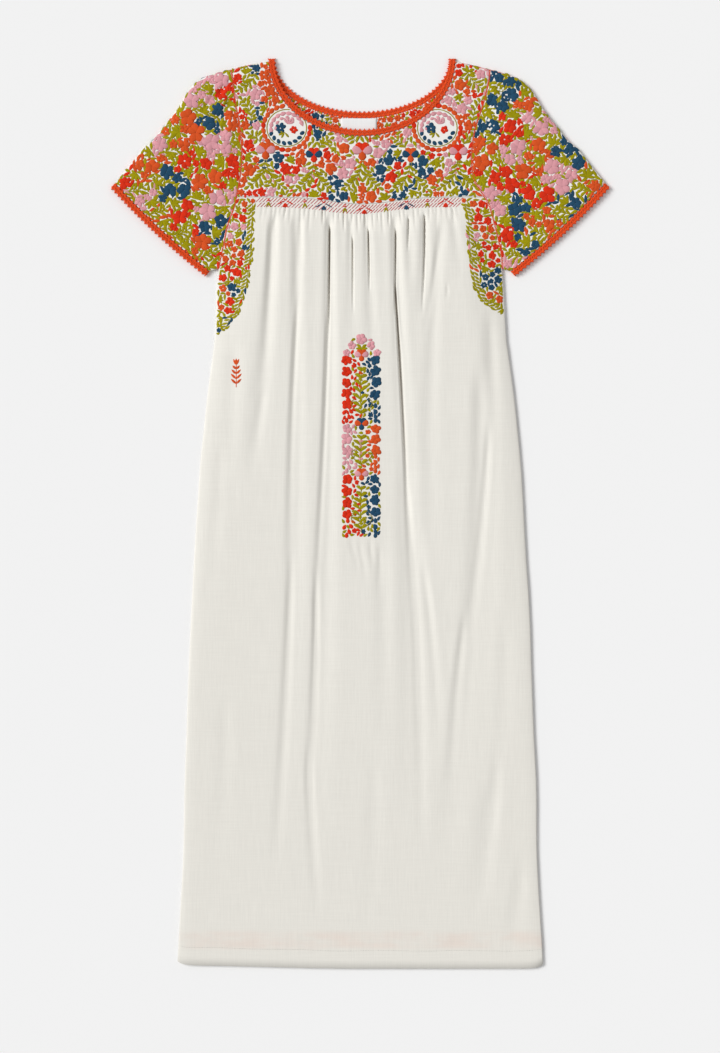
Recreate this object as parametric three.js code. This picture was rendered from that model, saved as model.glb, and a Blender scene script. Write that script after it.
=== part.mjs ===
// Embroidered midi dress with short sleeves, laid flat on its back with its front up.
// Millimetres. +X is to the right of the laid garment, +Y runs from the hem to the neck, and +Z is up.
// The origin is under the middle of the garment, at the height of the surface that it lies on.
import * as THREE from 'three';

// Cloth and seams
const CLOTH = 1.4; // wall of every panel
const SEAM = 0.3; // gap between pieces that are sewn together
const EDGING_THICK = 1.6;
const EDGING_WIDE = 8.6; // crochet edging at the neck and cuffs
const LABEL = { wide: 51, long: 25, thick: 1.0, x: -2 };

const COLOUR = { embroidery: 0xc9694a, cotton: 0xe5e3dd, crochet: 0xe2542a, label: 0xf4f4f2 };

// Neck opening: half ellipses down the middle of the crochet edging
const NECK_FOLD = { outside: 1.4, inside: 0.1 }; // how far the edging stands over the shoulder fold
const NECK = { x: 2.6, y: 648.6, halfWide: 129, frontDeep: 105, backDeep: 79.4 };

// Seam between the yoke and the gathered panels
const YOKE_SEAM = { y: 452, sag: 10, spread: 62 };
const SMOCKING = 15; // height of the worked strip, which holds the gathers flat
const UNDERARM_Y = 349.5;

// Heights of the upper layer over the surface
const FOLDED_EDGE_TOP = 3.1; // the upper layer's outside where it meets the lower one
const ROLL = 14; // the upper layer rises over this distance from a folded edge
const YOKE_TOP = 5.2;
const GATHER_LOFT = 8.0; // further rise of the gathered cloth under the yoke
const LOFT_FADES = 430; // distance over which that rise dies away
const HEM_DROP = 0.8;
const LOWEST_TOP = 3.25; // the bottom of the deepest fold, just clear of the lower layer

// Outline of one side, from the neck along the shoulder and the sleeve's upper fold to the cuff
const UPPER_FOLD = [
  { x: 141, y: 646 },
  { x: 165, y: 639.5 },
  { x: 184, y: 634 },
  { x: 205, y: 629 },
  { x: 226, y: 622 },
  { x: 237, y: 613.5 },
  { x: 245, y: 605 },
  { x: 251, y: 596 },
  { x: 261, y: 579 },
  { x: 274, y: 562 },
  { x: 297, y: 533.5 },
  { x: 314, y: 519 },
  { x: 325, y: 505 },
  { x: 337, y: 490.5 },
  { x: 349, y: 476 },
  { x: 355.5, y: 465 },
];
const SLEEVE_HEAD = 2; // row of that outline where the shoulder ends and the sleeve begins
const CUFF_LOW = { x: 221.5, y: 340 }; // lower end of the cuff, at the sleeve's underarm fold
const CUFF_BOW = 4; // how far the middle of the cuff stands out from a straight line

// Armhole seam on each side
const ARMHOLE = [
  { y: 634, left: -184, right: 185 },
  { y: 620, left: -182, right: 184 },
  { y: 586, left: -178, right: 176 },
  { y: 548, left: -171, right: 164 },
  { y: 508, left: -169, right: 159 },
  { y: 476, left: -172, right: 163 },
  { y: 456, left: -176, right: 175 },
  { y: 440, left: -179, right: 184 },
  { y: 412, left: -189, right: 192 },
  { y: 388, left: -194, right: 198 },
  { y: 366, left: -199, right: 202 },
  { y: UNDERARM_Y, left: -202, right: 203 },
];

// Side seams of the skirt
const SIDE_SEAM = [
  { y: UNDERARM_Y, left: -202, right: 203 },
  { y: 319, left: -205, right: 205 },
  { y: 248, left: -208, right: 209 },
  { y: 205, left: -213.5, right: 215 },
  { y: 162, left: -219, right: 220.5 },
  { y: 119, left: -223.5, right: 225 },
  { y: 76, left: -228, right: 229 },
  { y: 34, left: -231, right: 232 },
  { y: -52, left: -236.5, right: 236.5 },
  { y: -138, left: -241, right: 242 },
  { y: -224, left: -245, right: 245 },
  { y: -309, left: -248, right: 248 },
  { y: -395, left: -251, right: 252 },
  { y: -481, left: -252.5, right: 252.5 },
  { y: -566, left: -256.5, right: 256.5 },
  { y: -624, left: -259.5, right: 260 },
  { y: -650, left: -261, right: 261 },
];
const HEM = { y: -650, leftRise: 4.5, cornerRise: 6, corner: 7 };

// Folds of the upper layer. Each runs from x, y to toX, toY, bowed sideways, sunk by depth; its half width
// goes from wide to spread, and it deepens over the first rise of its length and fades over the rest.
const FOLDS = [
  { x: -122, y: 432, toX: -156, toY: 50, bow: 5, depth: 5.9, wide: 6, spread: 15, rise: 12 },
  { x: -99, y: 432, toX: -112, toY: -500, bow: 7, depth: 4.6, wide: 7, spread: 22, rise: 12 },
  { x: -84, y: 430, toX: -90, toY: 290, bow: 0, depth: 4.1, wide: 5, spread: 8, rise: 12 },
  { x: -52, y: 432, toX: -76, toY: -520, bow: 9, depth: 9.2, wide: 7, spread: 24, rise: 12 },
  { x: -14, y: 428, toX: -11, toY: 240, bow: 0, depth: 4.6, wide: 5, spread: 9, rise: 12 },
  { x: 5, y: 431, toX: 20, toY: 190, bow: 0, depth: 5.9, wide: 6, spread: 10, rise: 12 },
  { x: 42, y: 432, toX: 66, toY: 40, bow: -2, depth: 9.3, wide: 7, spread: 11, rise: 12 },
  { x: 62, y: 110, toX: 72, toY: -450, bow: 0, depth: 3.0, wide: 13, spread: 20, rise: 90 },
  { x: 69, y: 431, toX: 72, toY: 335, bow: 0, depth: 4.3, wide: 5, spread: 7, rise: 12 },
  { x: 88, y: 432, toX: 87, toY: 275, bow: 3, depth: 7.6, wide: 6, spread: 9, rise: 12 },
  { x: 76, y: 10, toX: 96, toY: -380, bow: 2, depth: 2.7, wide: 11, spread: 16, rise: 80 },
  { x: 114, y: 425, toX: 106, toY: -150, bow: -12, depth: 3.5, wide: 7, spread: 15, rise: 30 },
  { x: 131, y: 430, toX: 145, toY: 335, bow: 0, depth: 3.0, wide: 6, spread: 8, rise: 12 },
  { x: 158, y: 225, toX: 110, toY: -500, bow: 17, depth: 3.5, wide: 10, spread: 18, rise: 70 },
  { x: 182, y: 300, toX: 158, toY: -400, bow: 11, depth: 2.4, wide: 8, spread: 15, rise: 50 },
  { x: 190, y: -370, toX: 164, toY: -570, bow: 0, depth: 1.6, wide: 12, spread: 14, rise: 60 },
  { x: 209, y: -395, toX: 221, toY: -610, bow: 12, depth: 1.6, wide: 10, spread: 12, rise: 60 },
  { x: 32, y: -20, toX: 36, toY: -320, bow: 0, depth: 1.9, wide: 10, spread: 13, rise: 60 },
  { x: -178, y: 262, toX: -190, toY: -20, bow: 0, depth: 2.0, wide: 9, spread: 14, rise: 60 },
  { x: -190, y: 613, toX: -226, toY: 572, bow: 0, depth: 1.9, wide: 6, spread: 8, rise: 10 },
  { x: -184, y: 592, toX: -208, toY: 548, bow: 0, depth: 1.6, wide: 6, spread: 8, rise: 10 },
  { x: 192, y: 613, toX: 226, toY: 576, bow: 0, depth: 1.9, wide: 6, spread: 8, rise: 10 },
  { x: 182, y: 590, toX: 207, toY: 548, bow: 0, depth: 1.6, wide: 6, spread: 8, rise: 10 },
];

// How finely the walls are divided
const FRONT_COLUMNS = 64;
const BACK_COLUMNS = 16;
const EDGE_INSETS = [0, 1.6, 5, 10];
const YOKE_SHOULDER_COLUMNS = 4;
const NECK_STEPS = 26;
const NECK_TIP = 0.03; // turn, in radians, at which the neck's curve meets the shoulder
const YOKE_ROWS = 7;
const SLEEVE_ROWS = 8;
const SLEEVE_INSETS = [1.2, 4, 9];
const FOLD_INSET = 2.4; // nearest that a flattened tube's inside comes to its folds
const ARM_DROPS = [SEAM, 8, 15, 22, 32, 46, 70, YOKE_SEAM.y - UNDERARM_Y]; // panel rows above the underarm
const FRONT_DROPS = [...ARM_DROPS, 132, 170, 215, 268, 330, 405, 495, 600, 720, 850, 975, 1102];
const BACK_DROPS = [...ARM_DROPS, 180, 290, 430, 600, 780, 950, 1102];

const clamp = (v, low, high) => Math.min(high, Math.max(low, v));
const lerp = (a, b, t) => a + (b - a) * t;
const smooth = (t) => {
  const c = clamp(t, 0, 1);
  return c * c * (3 - 2 * c);
};

// One column of a table whose rows go down in y, at a given y, as a smooth curve through the rows.
function follow(rows, column, y) {
  const last = rows.length - 1;
  let i = 0;
  while (i < last - 1 && y < rows[i + 1].y) i += 1;
  const slope = (k) => {
    const a = rows[Math.max(0, k - 1)];
    const b = rows[Math.min(last, k + 1)];
    return (b[column] - a[column]) / (b.y - a.y);
  };
  const from = rows[i];
  const to = rows[i + 1];
  const span = to.y - from.y;
  const t = clamp((y - from.y) / span, 0, 1);
  const blend = t * t * (3 - 2 * t);
  const bend = (t * (1 - t) * (1 - t) * slope(i) - t * t * (1 - t) * slope(i + 1)) * span;
  return lerp(from[column], to[column], blend) + bend;
}

// The panel's edge on one side at a given y: the armhole above the underarm, the side seam below it.
const panelEdge = (side, y) => follow(y > UNDERARM_Y ? ARMHOLE : SIDE_SEAM, side, y);
const yokeSeamY = (x) => YOKE_SEAM.y - YOKE_SEAM.sag * Math.exp(-(((x - 4) / YOKE_SEAM.spread) ** 2));
const hemY = (x, edge) => {
  const corner = HEM.cornerRise * Math.exp(-edge / HEM.corner);
  return HEM.y + corner + HEM.leftRise * smooth(-x / 260);
};

// Lines along which the upper layer meets the lower one: shoulders, sleeve folds and side seams.
const foldedLines = [-1, 1].flatMap((sign) => {
  const side = sign < 0 ? 'left' : 'right';
  const tip = { x: NECK.x + sign * NECK.halfWide, y: NECK.y };
  const upper = [tip, ...UPPER_FOLD.map((p) => ({ x: sign * p.x, y: p.y }))];
  const lower = [{ x: sign * CUFF_LOW.x, y: CUFF_LOW.y }];
  SIDE_SEAM.forEach((row) => lower.push({ x: row[side], y: row.y }));
  return [upper, lower];
});

function distanceToLine(line, x, y) {
  let best = Infinity;
  for (let i = 0; i + 1 < line.length; i += 1) {
    const a = line[i];
    const dx = line[i + 1].x - a.x;
    const dy = line[i + 1].y - a.y;
    const t = clamp(((x - a.x) * dx + (y - a.y) * dy) / (dx * dx + dy * dy), 0, 1);
    best = Math.min(best, Math.hypot(x - a.x - t * dx, y - a.y - t * dy));
  }
  return best;
}
const foldedEdge = (x, y) => Math.min(...foldedLines.map((line) => distanceToLine(line, x, y)));

// Depth of one fold at a place: a trough with a low ridge along each side of it.
function foldDepth(fold, x, y) {
  const dx = fold.toX - fold.x;
  const dy = fold.toY - fold.y;
  const long = Math.hypot(dx, dy);
  const along = ((x - fold.x) * dx + (y - fold.y) * dy) / (long * long);
  if (along <= 0 || along >= 1) return 0;
  const across = ((y - fold.y) * dx - (x - fold.x) * dy) / long - 4 * fold.bow * along * (1 - along);
  const t = across / lerp(fold.wide, fold.spread, along);
  const strength = smooth((along * long) / fold.rise) * (1 - along) ** 0.7;
  return fold.depth * strength * (1 - 0.42 * t * t) * Math.exp(-0.5 * t * t);
}

// Height of the outside of the upper layer at any place of the laid garment.
function upperTop(x, y) {
  const inset = foldedEdge(x, y);
  const drop = yokeSeamY(x) - y;
  const gathered = 1 - smooth((Math.abs(x) - 130 - 0.12 * Math.max(drop, 0)) / 65);
  const rise = drop > 0 ? smooth((drop - SMOCKING + 6) / 32) * Math.exp(-((drop / LOFT_FADES) ** 2)) : 0;
  const flat = YOKE_TOP + GATHER_LOFT * gathered * rise - HEM_DROP * smooth(drop / 1100);
  const sunk = FOLDS.reduce((sum, fold) => sum + foldDepth(fold, x, y), 0) * smooth(inset / 26);
  const t = clamp(inset / ROLL, 0, 1);
  const top = FOLDED_EDGE_TOP + (flat - FOLDED_EDGE_TOP) * Math.sqrt(1 - (1 - t) * (1 - t)) - sunk;
  const over = top - LOWEST_TOP;
  const lifted = inset < ROLL ? top : LOWEST_TOP + (over + Math.sqrt(over * over + 0.6)) / 2;
  return Math.max(lifted, FOLDED_EDGE_TOP);
}

// Closed mesh from points and quads, each quad turned so that its front faces outwards.
function solid(name, colour, points, quads) {
  const position = new Float32Array(points.flat());
  const index = quads.flatMap(([a, b, c, d]) => [a, b, c, a, c, d]);
  const geometry = new THREE.BufferGeometry();
  geometry.setAttribute('position', new THREE.BufferAttribute(position, 3));
  geometry.setIndex(index);
  geometry.computeVertexNormals();
  const material = new THREE.MeshStandardMaterial({ name: `${name}_cloth`, color: colour, roughness: 0.9 });
  const mesh = new THREE.Mesh(geometry, material);
  mesh.name = name;
  return mesh;
}

// Sheet of cloth from rows of plan points, with the heights of its two faces at each.
function panel(name, colour, rows, faces) {
  const across = rows[0].length;
  const points = [];
  rows.forEach((row) => row.forEach((p) => points.push([p.x, p.y, faces(p).top])));
  rows.forEach((row) => row.forEach((p) => points.push([p.x, p.y, faces(p).bottom])));
  const half = rows.length * across;
  const at = (r, c) => r * across + c;
  const quads = [];
  for (let r = 0; r + 1 < rows.length; r += 1) {
    for (let c = 0; c + 1 < across; c += 1) {
      quads.push([at(r, c), at(r + 1, c), at(r + 1, c + 1), at(r, c + 1)]);
      quads.push([half + at(r, c), half + at(r, c + 1), half + at(r + 1, c + 1), half + at(r + 1, c)]);
    }
    const right = across - 1;
    quads.push([at(r, 0), half + at(r, 0), half + at(r + 1, 0), at(r + 1, 0)]);
    quads.push([at(r, right), at(r + 1, right), half + at(r + 1, right), half + at(r, right)]);
  }
  const last = rows.length - 1;
  for (let c = 0; c + 1 < across; c += 1) {
    quads.push([at(0, c), at(0, c + 1), half + at(0, c + 1), half + at(0, c)]);
    quads.push([at(last, c), half + at(last, c), half + at(last, c + 1), at(last, c + 1)]);
  }
  return solid(name, colour, points, quads);
}

// Flattened tube from loops of outside and inside points, with a rim at each open end.
function tube(name, colour, loops) {
  const around = loops[0].outside.length;
  const points = loops.flatMap((loop) => [...loop.outside, ...loop.inside]);
  const outer = (l, i) => l * 2 * around + (i % around);
  const inner = (l, i) => outer(l, i) + around;
  const quads = [];
  for (let i = 0; i < around; i += 1) {
    for (let l = 0; l + 1 < loops.length; l += 1) {
      quads.push([outer(l, i), outer(l + 1, i), outer(l + 1, i + 1), outer(l, i + 1)]);
      quads.push([inner(l, i), inner(l, i + 1), inner(l + 1, i + 1), inner(l + 1, i)]);
    }
    const last = loops.length - 1;
    quads.push([outer(0, i), outer(0, i + 1), inner(0, i + 1), inner(0, i)]);
    quads.push([outer(last, i), inner(last, i), inner(last, i + 1), outer(last, i + 1)]);
  }
  return solid(name, colour, points, quads);
}

const upperFaces = (p) => {
  const top = upperTop(p.x, p.y);
  return { top, bottom: top - CLOTH };
};
const lowerFaces = () => ({ top: CLOTH, bottom: 0 });

// Places across a panel between its two edges: close to each edge first, then evenly between.
function acrossPanel(left, right, columns) {
  const inner = EDGE_INSETS[EDGE_INSETS.length - 1] + 6;
  const even = Array.from({ length: columns + 1 }, (_, i) => lerp(left + inner, right - inner, i / columns));
  const low = EDGE_INSETS.map((inset) => left + inset);
  const high = EDGE_INSETS.map((inset) => right - inset).reverse();
  return [...low, ...even, ...high];
}

function skirtRows(drops, columns) {
  return drops.map((drop) => {
    const level = YOKE_SEAM.y - drop;
    const xs = acrossPanel(panelEdge('left', level), panelEdge('right', level), columns);
    const seamShare = 1 - smooth(drop / 160);
    const hemShare = smooth((drop - 900) / 200);
    return xs.map((x) => {
      const edge = Math.min(x - xs[0], xs[xs.length - 1] - x);
      const fromSeam = (yokeSeamY(x) - YOKE_SEAM.y) * seamShare;
      const fromHem = (hemY(x, edge) - HEM.y) * hemShare;
      return { x, y: level + fromSeam + fromHem };
    });
  });
}

// Half ellipse of the neck, widened by out, from the left tip down and round to the right tip.
function neckPoint(deep, out, turn) {
  return {
    x: NECK.x - (NECK.halfWide + out) * Math.cos(turn),
    y: NECK.y - (deep + out) * Math.sin(turn),
  };
}

const sum = (values) => values.reduce((a, b) => a + b, 0);
const stepsOf = (line) => line.slice(1).map((p, i) => Math.hypot(p.x - line[i].x, p.y - line[i].y));

// The point at a share of the way along a line of points.
function spaced(line, share) {
  const lengths = stepsOf(line);
  let left = clamp(share, 0, 1) * sum(lengths);
  let i = 0;
  while (i < lengths.length - 1 && left > lengths[i]) {
    left -= lengths[i];
    i += 1;
  }
  const t = lengths[i] ? left / lengths[i] : 0;
  return { x: lerp(line[i].x, line[i + 1].x, t), y: lerp(line[i].y, line[i + 1].y, t) };
}

// Plan points filled in between four edges that meet at their ends.
function between(top, bottom, left, right, s, t) {
  const mix = (key) => {
    const corners = lerp(lerp(top(0)[key], top(1)[key], s), lerp(bottom(0)[key], bottom(1)[key], s), t);
    return lerp(top(s)[key], bottom(s)[key], t) + lerp(left(t)[key], right(t)[key], s) - corners;
  };
  return { x: mix('x'), y: mix('y') };
}

// The armhole from the shoulder to the underarm, at the rows that the yokes and panels share.
function armholeLine(side) {
  const top = ARMHOLE[0].y;
  const yoke = Array.from({ length: YOKE_ROWS }, (_, r) => lerp(top, YOKE_SEAM.y, r / YOKE_ROWS));
  const levels = [...yoke, YOKE_SEAM.y, ...ARM_DROPS.slice(1).map((drop) => YOKE_SEAM.y - drop)];
  return levels.map((y) => ({ x: panelEdge(side, y), y }));
}

// Turns round the half ellipse of the neck, shared by the yokes and the edging.
const neckTurns = Array.from({ length: NECK_STEPS + 1 }, (_, i) =>
  lerp(NECK_TIP, Math.PI - NECK_TIP, i / NECK_STEPS),
);

function yokeRows(deep) {
  const neck = neckTurns.map((turn) => neckPoint(deep, EDGING_WIDE / 2 + SEAM, turn));
  const arm = { left: armholeLine('left'), right: armholeLine('right') };
  const shoulder = (side, sign, tip) => {
    const bend = UPPER_FOLD[SLEEVE_HEAD - 1];
    const line = [arm[side][0], { x: sign * bend.x, y: bend.y }, tip];
    return Array.from({ length: YOKE_SHOULDER_COLUMNS }, (_, i) => spaced(line, i / YOKE_SHOULDER_COLUMNS));
  };
  const top = [
    ...shoulder('left', -1, neck[0]),
    ...neck,
    ...shoulder('right', 1, neck[NECK_STEPS]).reverse(),
  ];
  const count = top.length - 1;
  const seam = (s) => {
    const x = lerp(arm.left[YOKE_ROWS].x, arm.right[YOKE_ROWS].x, s);
    return { x, y: yokeSeamY(x) };
  };
  const edge = (side) => (t) => arm[side][Math.round(t * YOKE_ROWS)];
  const neckline = (s) => top[Math.round(s * count)];
  return Array.from({ length: YOKE_ROWS + 1 }, (_, r) =>
    top.map((_, c) => between(neckline, seam, edge('left'), edge('right'), c / count, r / YOKE_ROWS)),
  );
}

// A sleeve or its cuff edging as a flattened tube between two lines across it, start and end, that run from
// the upper fold to the underarm fold; upper and lower are those folds.
function sleeveTube(name, colour, { start, end, upper, lower }, { rows, thick, raise, turned, shares }) {
  const loops = Array.from({ length: rows + 1 }, (_, r) => {
    const t = r / rows;
    const at = (s) => between(start, end, upper, lower, s, t);
    const a = at(0);
    const b = at(1);
    const wide = Math.hypot(b.x - a.x, b.y - a.y);
    const near = SLEEVE_INSETS.map((inset) => inset / wide);
    const far = SLEEVE_INSETS.map((inset) => 1 - inset / wide).reverse();
    const layer = [...near, ...shares, ...far];
    const outside = [];
    const inside = [];
    const add = (s, z, innerS, innerZ) => {
      const p = at(s);
      const q = at(innerS);
      outside.push([p.x, p.y, z]);
      inside.push([q.x, q.y, innerZ]);
    };
    const middle = (thick + FOLDED_EDGE_TOP - CLOTH) / 2;
    add(0, middle, thick / wide, middle);
    const inward = (s) => clamp(s, FOLD_INSET / wide, 1 - FOLD_INSET / wide);
    layer.forEach((s) => {
      const p = at(s);
      const q = at(inward(s));
      add(s, upperTop(p.x, p.y) + raise, inward(s), upperTop(q.x, q.y) - CLOTH);
    });
    add(1, middle, 1 - thick / wide, middle);
    [...layer].reverse().forEach((s) => add(s, 0, inward(s), CLOTH));
    return { outside, inside };
  });
  return tube(name, colour, turned ? loops.reverse() : loops);
}

function sleeve(side) {
  const sign = side === 'left' ? -1 : 1;
  const place = (p) => ({ x: sign * p.x, y: p.y });
  const armLine = armholeLine(side).map((p) => ({ x: p.x + sign * SEAM, y: p.y }));
  const steps = stepsOf(armLine);
  const shares = steps.slice(0, -1).map((_, i) => sum(steps.slice(0, i + 1)) / sum(steps));

  const tip = place(UPPER_FOLD[UPPER_FOLD.length - 1]);
  const low = place(CUFF_LOW);
  const cuffLength = Math.hypot(tip.x - low.x, tip.y - low.y);
  const out = { x: (sign * (tip.y - low.y)) / cuffLength, y: -Math.abs(tip.x - low.x) / cuffLength };
  const cuffLine = (back) => (s) => {
    const bow = CUFF_BOW * 4 * s * (1 - s) - back;
    return { x: lerp(tip.x, low.x, s) + out.x * bow, y: lerp(tip.y, low.y, s) + out.y * bow };
  };
  const clothEnd = cuffLine(EDGING_WIDE + SEAM);
  const edgingStart = cuffLine(EDGING_WIDE);
  const cuff = cuffLine(0);

  const foldLine = [armLine[0], ...UPPER_FOLD.slice(SLEEVE_HEAD + 1).map(place)];
  const clothShare = 1 - (EDGING_WIDE + SEAM) / sum(stepsOf(foldLine));
  const foldEnd = spaced(foldLine, clothShare);
  const foldAt = (t) => {
    const p = spaced(foldLine, t * clothShare);
    return { x: p.x + (clothEnd(0).x - foldEnd.x) * t, y: p.y + (clothEnd(0).y - foldEnd.y) * t };
  };
  const straight = (a, b) => (t) => ({ x: lerp(a.x, b.x, t), y: lerp(a.y, b.y, t) });
  const clothLines = {
    start: (s) => spaced(armLine, s),
    end: clothEnd,
    upper: foldAt,
    lower: straight(armLine[armLine.length - 1], clothEnd(1)),
  };
  const edgingLines = {
    start: edgingStart,
    end: cuff,
    upper: straight(edgingStart(0), cuff(0)),
    lower: straight(edgingStart(1), cuff(1)),
  };
  const turned = side === 'right';
  const clothWall = { rows: SLEEVE_ROWS, thick: CLOTH, raise: 0, turned, shares };
  const edgingWall = { rows: 1, thick: EDGING_THICK, raise: EDGING_THICK - CLOTH, turned, shares };
  return [
    sleeveTube(`sleeve_${side}`, COLOUR.embroidery, clothLines, clothWall),
    sleeveTube(`cuff_edging_${side}`, COLOUR.crochet, edgingLines, edgingWall),
  ];
}

// The neck edging is one ribbon, round the front, over each shoulder fold and round the back.
function neckEdging() {
  const half = EDGING_WIDE / 2;
  const middle = FOLDED_EDGE_TOP / 2;
  const foldOutside = { z: middle, y: NECK_FOLD.outside };
  const foldInside = { z: middle, y: NECK_FOLD.inside };
  const loops = [];
  const add = (deep, turn, outer, inner) => {
    const cloth = neckPoint(deep, half, turn);
    const open = neckPoint(deep, -half, turn);
    loops.push({ cloth, open, outer, inner });
  };
  neckTurns.forEach((turn) => {
    const p = neckPoint(NECK.frontDeep, 0, turn);
    const top = upperTop(p.x, p.y);
    add(NECK.frontDeep, turn, { z: top + EDGING_THICK - CLOTH }, { z: top - CLOTH });
  });
  add(NECK.backDeep, Math.PI, foldOutside, foldInside);
  [...neckTurns].reverse().forEach((turn) => add(NECK.backDeep, turn, { z: 0 }, { z: CLOTH }));
  add(NECK.backDeep, 0, foldOutside, foldInside);
  const points = loops.flatMap(({ cloth, open, outer, inner }) => [
    [cloth.x, cloth.y + (outer.y ?? 0), outer.z],
    [open.x, open.y + (outer.y ?? 0), outer.z],
    [open.x, open.y + (inner.y ?? 0), inner.z],
    [cloth.x, cloth.y + (inner.y ?? 0), inner.z],
  ]);
  const quads = loops.flatMap((_, l) => {
    const next = (l + 1) % loops.length;
    return [0, 1, 2, 3].map((k) => {
      const after = (k + 1) % 4;
      return [4 * l + k, 4 * next + k, 4 * next + after, 4 * l + after];
    });
  });
  return solid('neck_edging', COLOUR.crochet, points, quads);
}

function label() {
  const top = NECK.y - NECK.backDeep - EDGING_WIDE / 2 - SEAM;
  const geometry = new THREE.BoxGeometry(LABEL.wide, LABEL.long, LABEL.thick);
  geometry.translate(LABEL.x, top - LABEL.long / 2, CLOTH + SEAM + LABEL.thick / 2);
  const look = { name: 'label_cloth', color: COLOUR.label, roughness: 0.8 };
  const mesh = new THREE.Mesh(geometry, new THREE.MeshStandardMaterial(look));
  mesh.name = 'label';
  return mesh;
}

const dress = new THREE.Group();
dress.name = 'embroidered_midi_dress';
dress.add(
  panel('front_yoke', COLOUR.embroidery, yokeRows(NECK.frontDeep), upperFaces),
  panel('back_yoke', COLOUR.embroidery, yokeRows(NECK.backDeep), lowerFaces),
  panel('front_skirt', COLOUR.cotton, skirtRows(FRONT_DROPS, FRONT_COLUMNS), upperFaces),
  panel('back_skirt', COLOUR.cotton, skirtRows(BACK_DROPS, BACK_COLUMNS), lowerFaces),
  ...sleeve('left'),
  ...sleeve('right'),
  neckEdging(),
  label(),
);

export default dress;
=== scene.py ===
"""Embroidered midi dress laid flat on its back, dressed over its CAD frame.

Every shape is worked out in millimetres in the frame's own axes (+X right, +Y from hem to neck, +Z up) and is
turned into metres when its mesh is made.
"""

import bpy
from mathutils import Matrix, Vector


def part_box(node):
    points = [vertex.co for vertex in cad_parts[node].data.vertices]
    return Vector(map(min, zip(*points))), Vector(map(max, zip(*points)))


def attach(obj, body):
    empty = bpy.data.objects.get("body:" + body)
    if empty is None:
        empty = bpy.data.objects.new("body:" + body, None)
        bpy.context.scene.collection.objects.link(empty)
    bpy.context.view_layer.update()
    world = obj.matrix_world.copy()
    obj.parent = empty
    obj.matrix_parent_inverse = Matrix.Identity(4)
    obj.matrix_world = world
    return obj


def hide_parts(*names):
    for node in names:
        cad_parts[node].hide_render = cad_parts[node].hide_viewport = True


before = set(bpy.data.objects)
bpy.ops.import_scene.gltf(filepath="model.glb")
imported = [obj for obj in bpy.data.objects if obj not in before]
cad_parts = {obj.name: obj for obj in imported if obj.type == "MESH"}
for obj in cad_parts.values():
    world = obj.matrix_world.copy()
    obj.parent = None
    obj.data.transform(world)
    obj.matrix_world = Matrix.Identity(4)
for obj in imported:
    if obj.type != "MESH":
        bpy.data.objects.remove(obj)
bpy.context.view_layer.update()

import math

import bpy
import numpy as np
from bpy.props import FloatProperty, FloatVectorProperty, IntProperty, PointerProperty
from bpy.types import Operator, Panel, PropertyGroup

bl_info = {
    "name": "Embroidered Midi Dress",
    "version": (1, 0, 0),
    "blender": (4, 5, 0),
    "location": "3D View > Sidebar > Dress",
    "description": "Builds a flat-laid cotton dress with raised satin stitch flowers and crochet edgings",
    "category": "Add Mesh",
}

MM = 0.001
SIGN = {"left": -1, "right": 1}

# ---------------------------------------------------------------- sizes, in millimetres

SEAM = 0.3
EDGING_WIDE = 8.6
NECK_X, NECK_Y, NECK_HALF = 2.6, 648.6, 129.0
NECK_FRONT, NECK_BACK = 105.0, 79.4
NECK_TIP = 0.03
YOKE_Y, YOKE_SAG, YOKE_SPREAD = 452.0, 10.0, 62.0
SMOCKING = 15.0
UNDERARM_Y = 349.5
BACK_SHIFT = 9.0
BACK_RIPPLE = 0.55
# Closed slits: folds narrower than the first number; painted shade darkens the cotton in them as their depth
# grows over the second, up to the share of the third.
SLIT_WIDE, SLIT_DEPTH, SLIT_PAINTED_SHADE = 1.3, 5.5, 0.75
EDGE_TOP = 3.1
ROLL = 14.0
YOKE_TOP = 5.2
LOFT = 7.0
LOFT_RISE = 38.0
LOFT_FADES = 430.0
GATHER_HALF, GATHER_WIDENS, GATHER_FADES = 130, 0.12, 65
FOLD_INSET = 26
SOFT_STOP = 0.4
SLEEVE_PUFF = 3.2
PUFF_X, PUFF_RISE, PUFF_Y, PUFF_TALL = 172.0, 24.0, 575.0, 62.0
HEM_DROP = 0.8
LOWEST = 2.9
HEM_Y = -650.0
SKIRT_LONG = YOKE_Y - HEM_Y
# Shares of a skirt panel's rows and columns that are even; the rest is drawn to the top and to the middle.
EVEN_DOWN, DRAWN_DOWN, EVEN_ACROSS = 0.42, 0.58, 0.58
CUFF_LOW = (221.5, 340.0)
CUFF_BOW = 4.0
SLEEVE_HEAD = 2
LOWER_TOP = 1.4

UPPER_FOLD = np.array([
    (141, 646), (165, 639.5), (184, 634), (205, 629), (226, 622), (237, 613.5), (245, 605), (251, 596),
    (261, 579), (274, 562), (297, 533.5), (314, 519), (325, 505), (337, 490.5), (349, 476), (355.5, 465),
])

EDGE_COLUMNS = [("y", float), ("left", float), ("right", float)]
ARMHOLE = np.array([
    (634, -184, 185), (620, -182, 184), (586, -178, 176), (548, -171, 164), (508, -169, 159),
    (476, -172, 163), (456, -176, 175), (440, -179, 184), (412, -189, 192), (388, -194, 198),
    (366, -199, 202), (UNDERARM_Y, -202, 203),
], dtype=EDGE_COLUMNS)
SIDE_SEAM = np.array([
    (UNDERARM_Y, -202, 203), (319, -205, 205), (248, -208, 209), (205, -213.5, 215), (162, -219, 220.5),
    (119, -223.5, 225), (76, -228, 229), (34, -231, 232), (-52, -236.5, 236.5), (-138, -241, 242),
    (-224, -245, 245), (-309, -248, 248), (-395, -251, 252), (-481, -252.5, 252.5), (-566, -256.5, 256.5),
    (-624, -259.5, 260), (HEM_Y, -261, 261),
], dtype=EDGE_COLUMNS)

FOLD_COLUMNS = [(key, float) for key in ("x", "y", "to_x", "to_y", "bow", "depth", "wide", "spread", "rise")]
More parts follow.
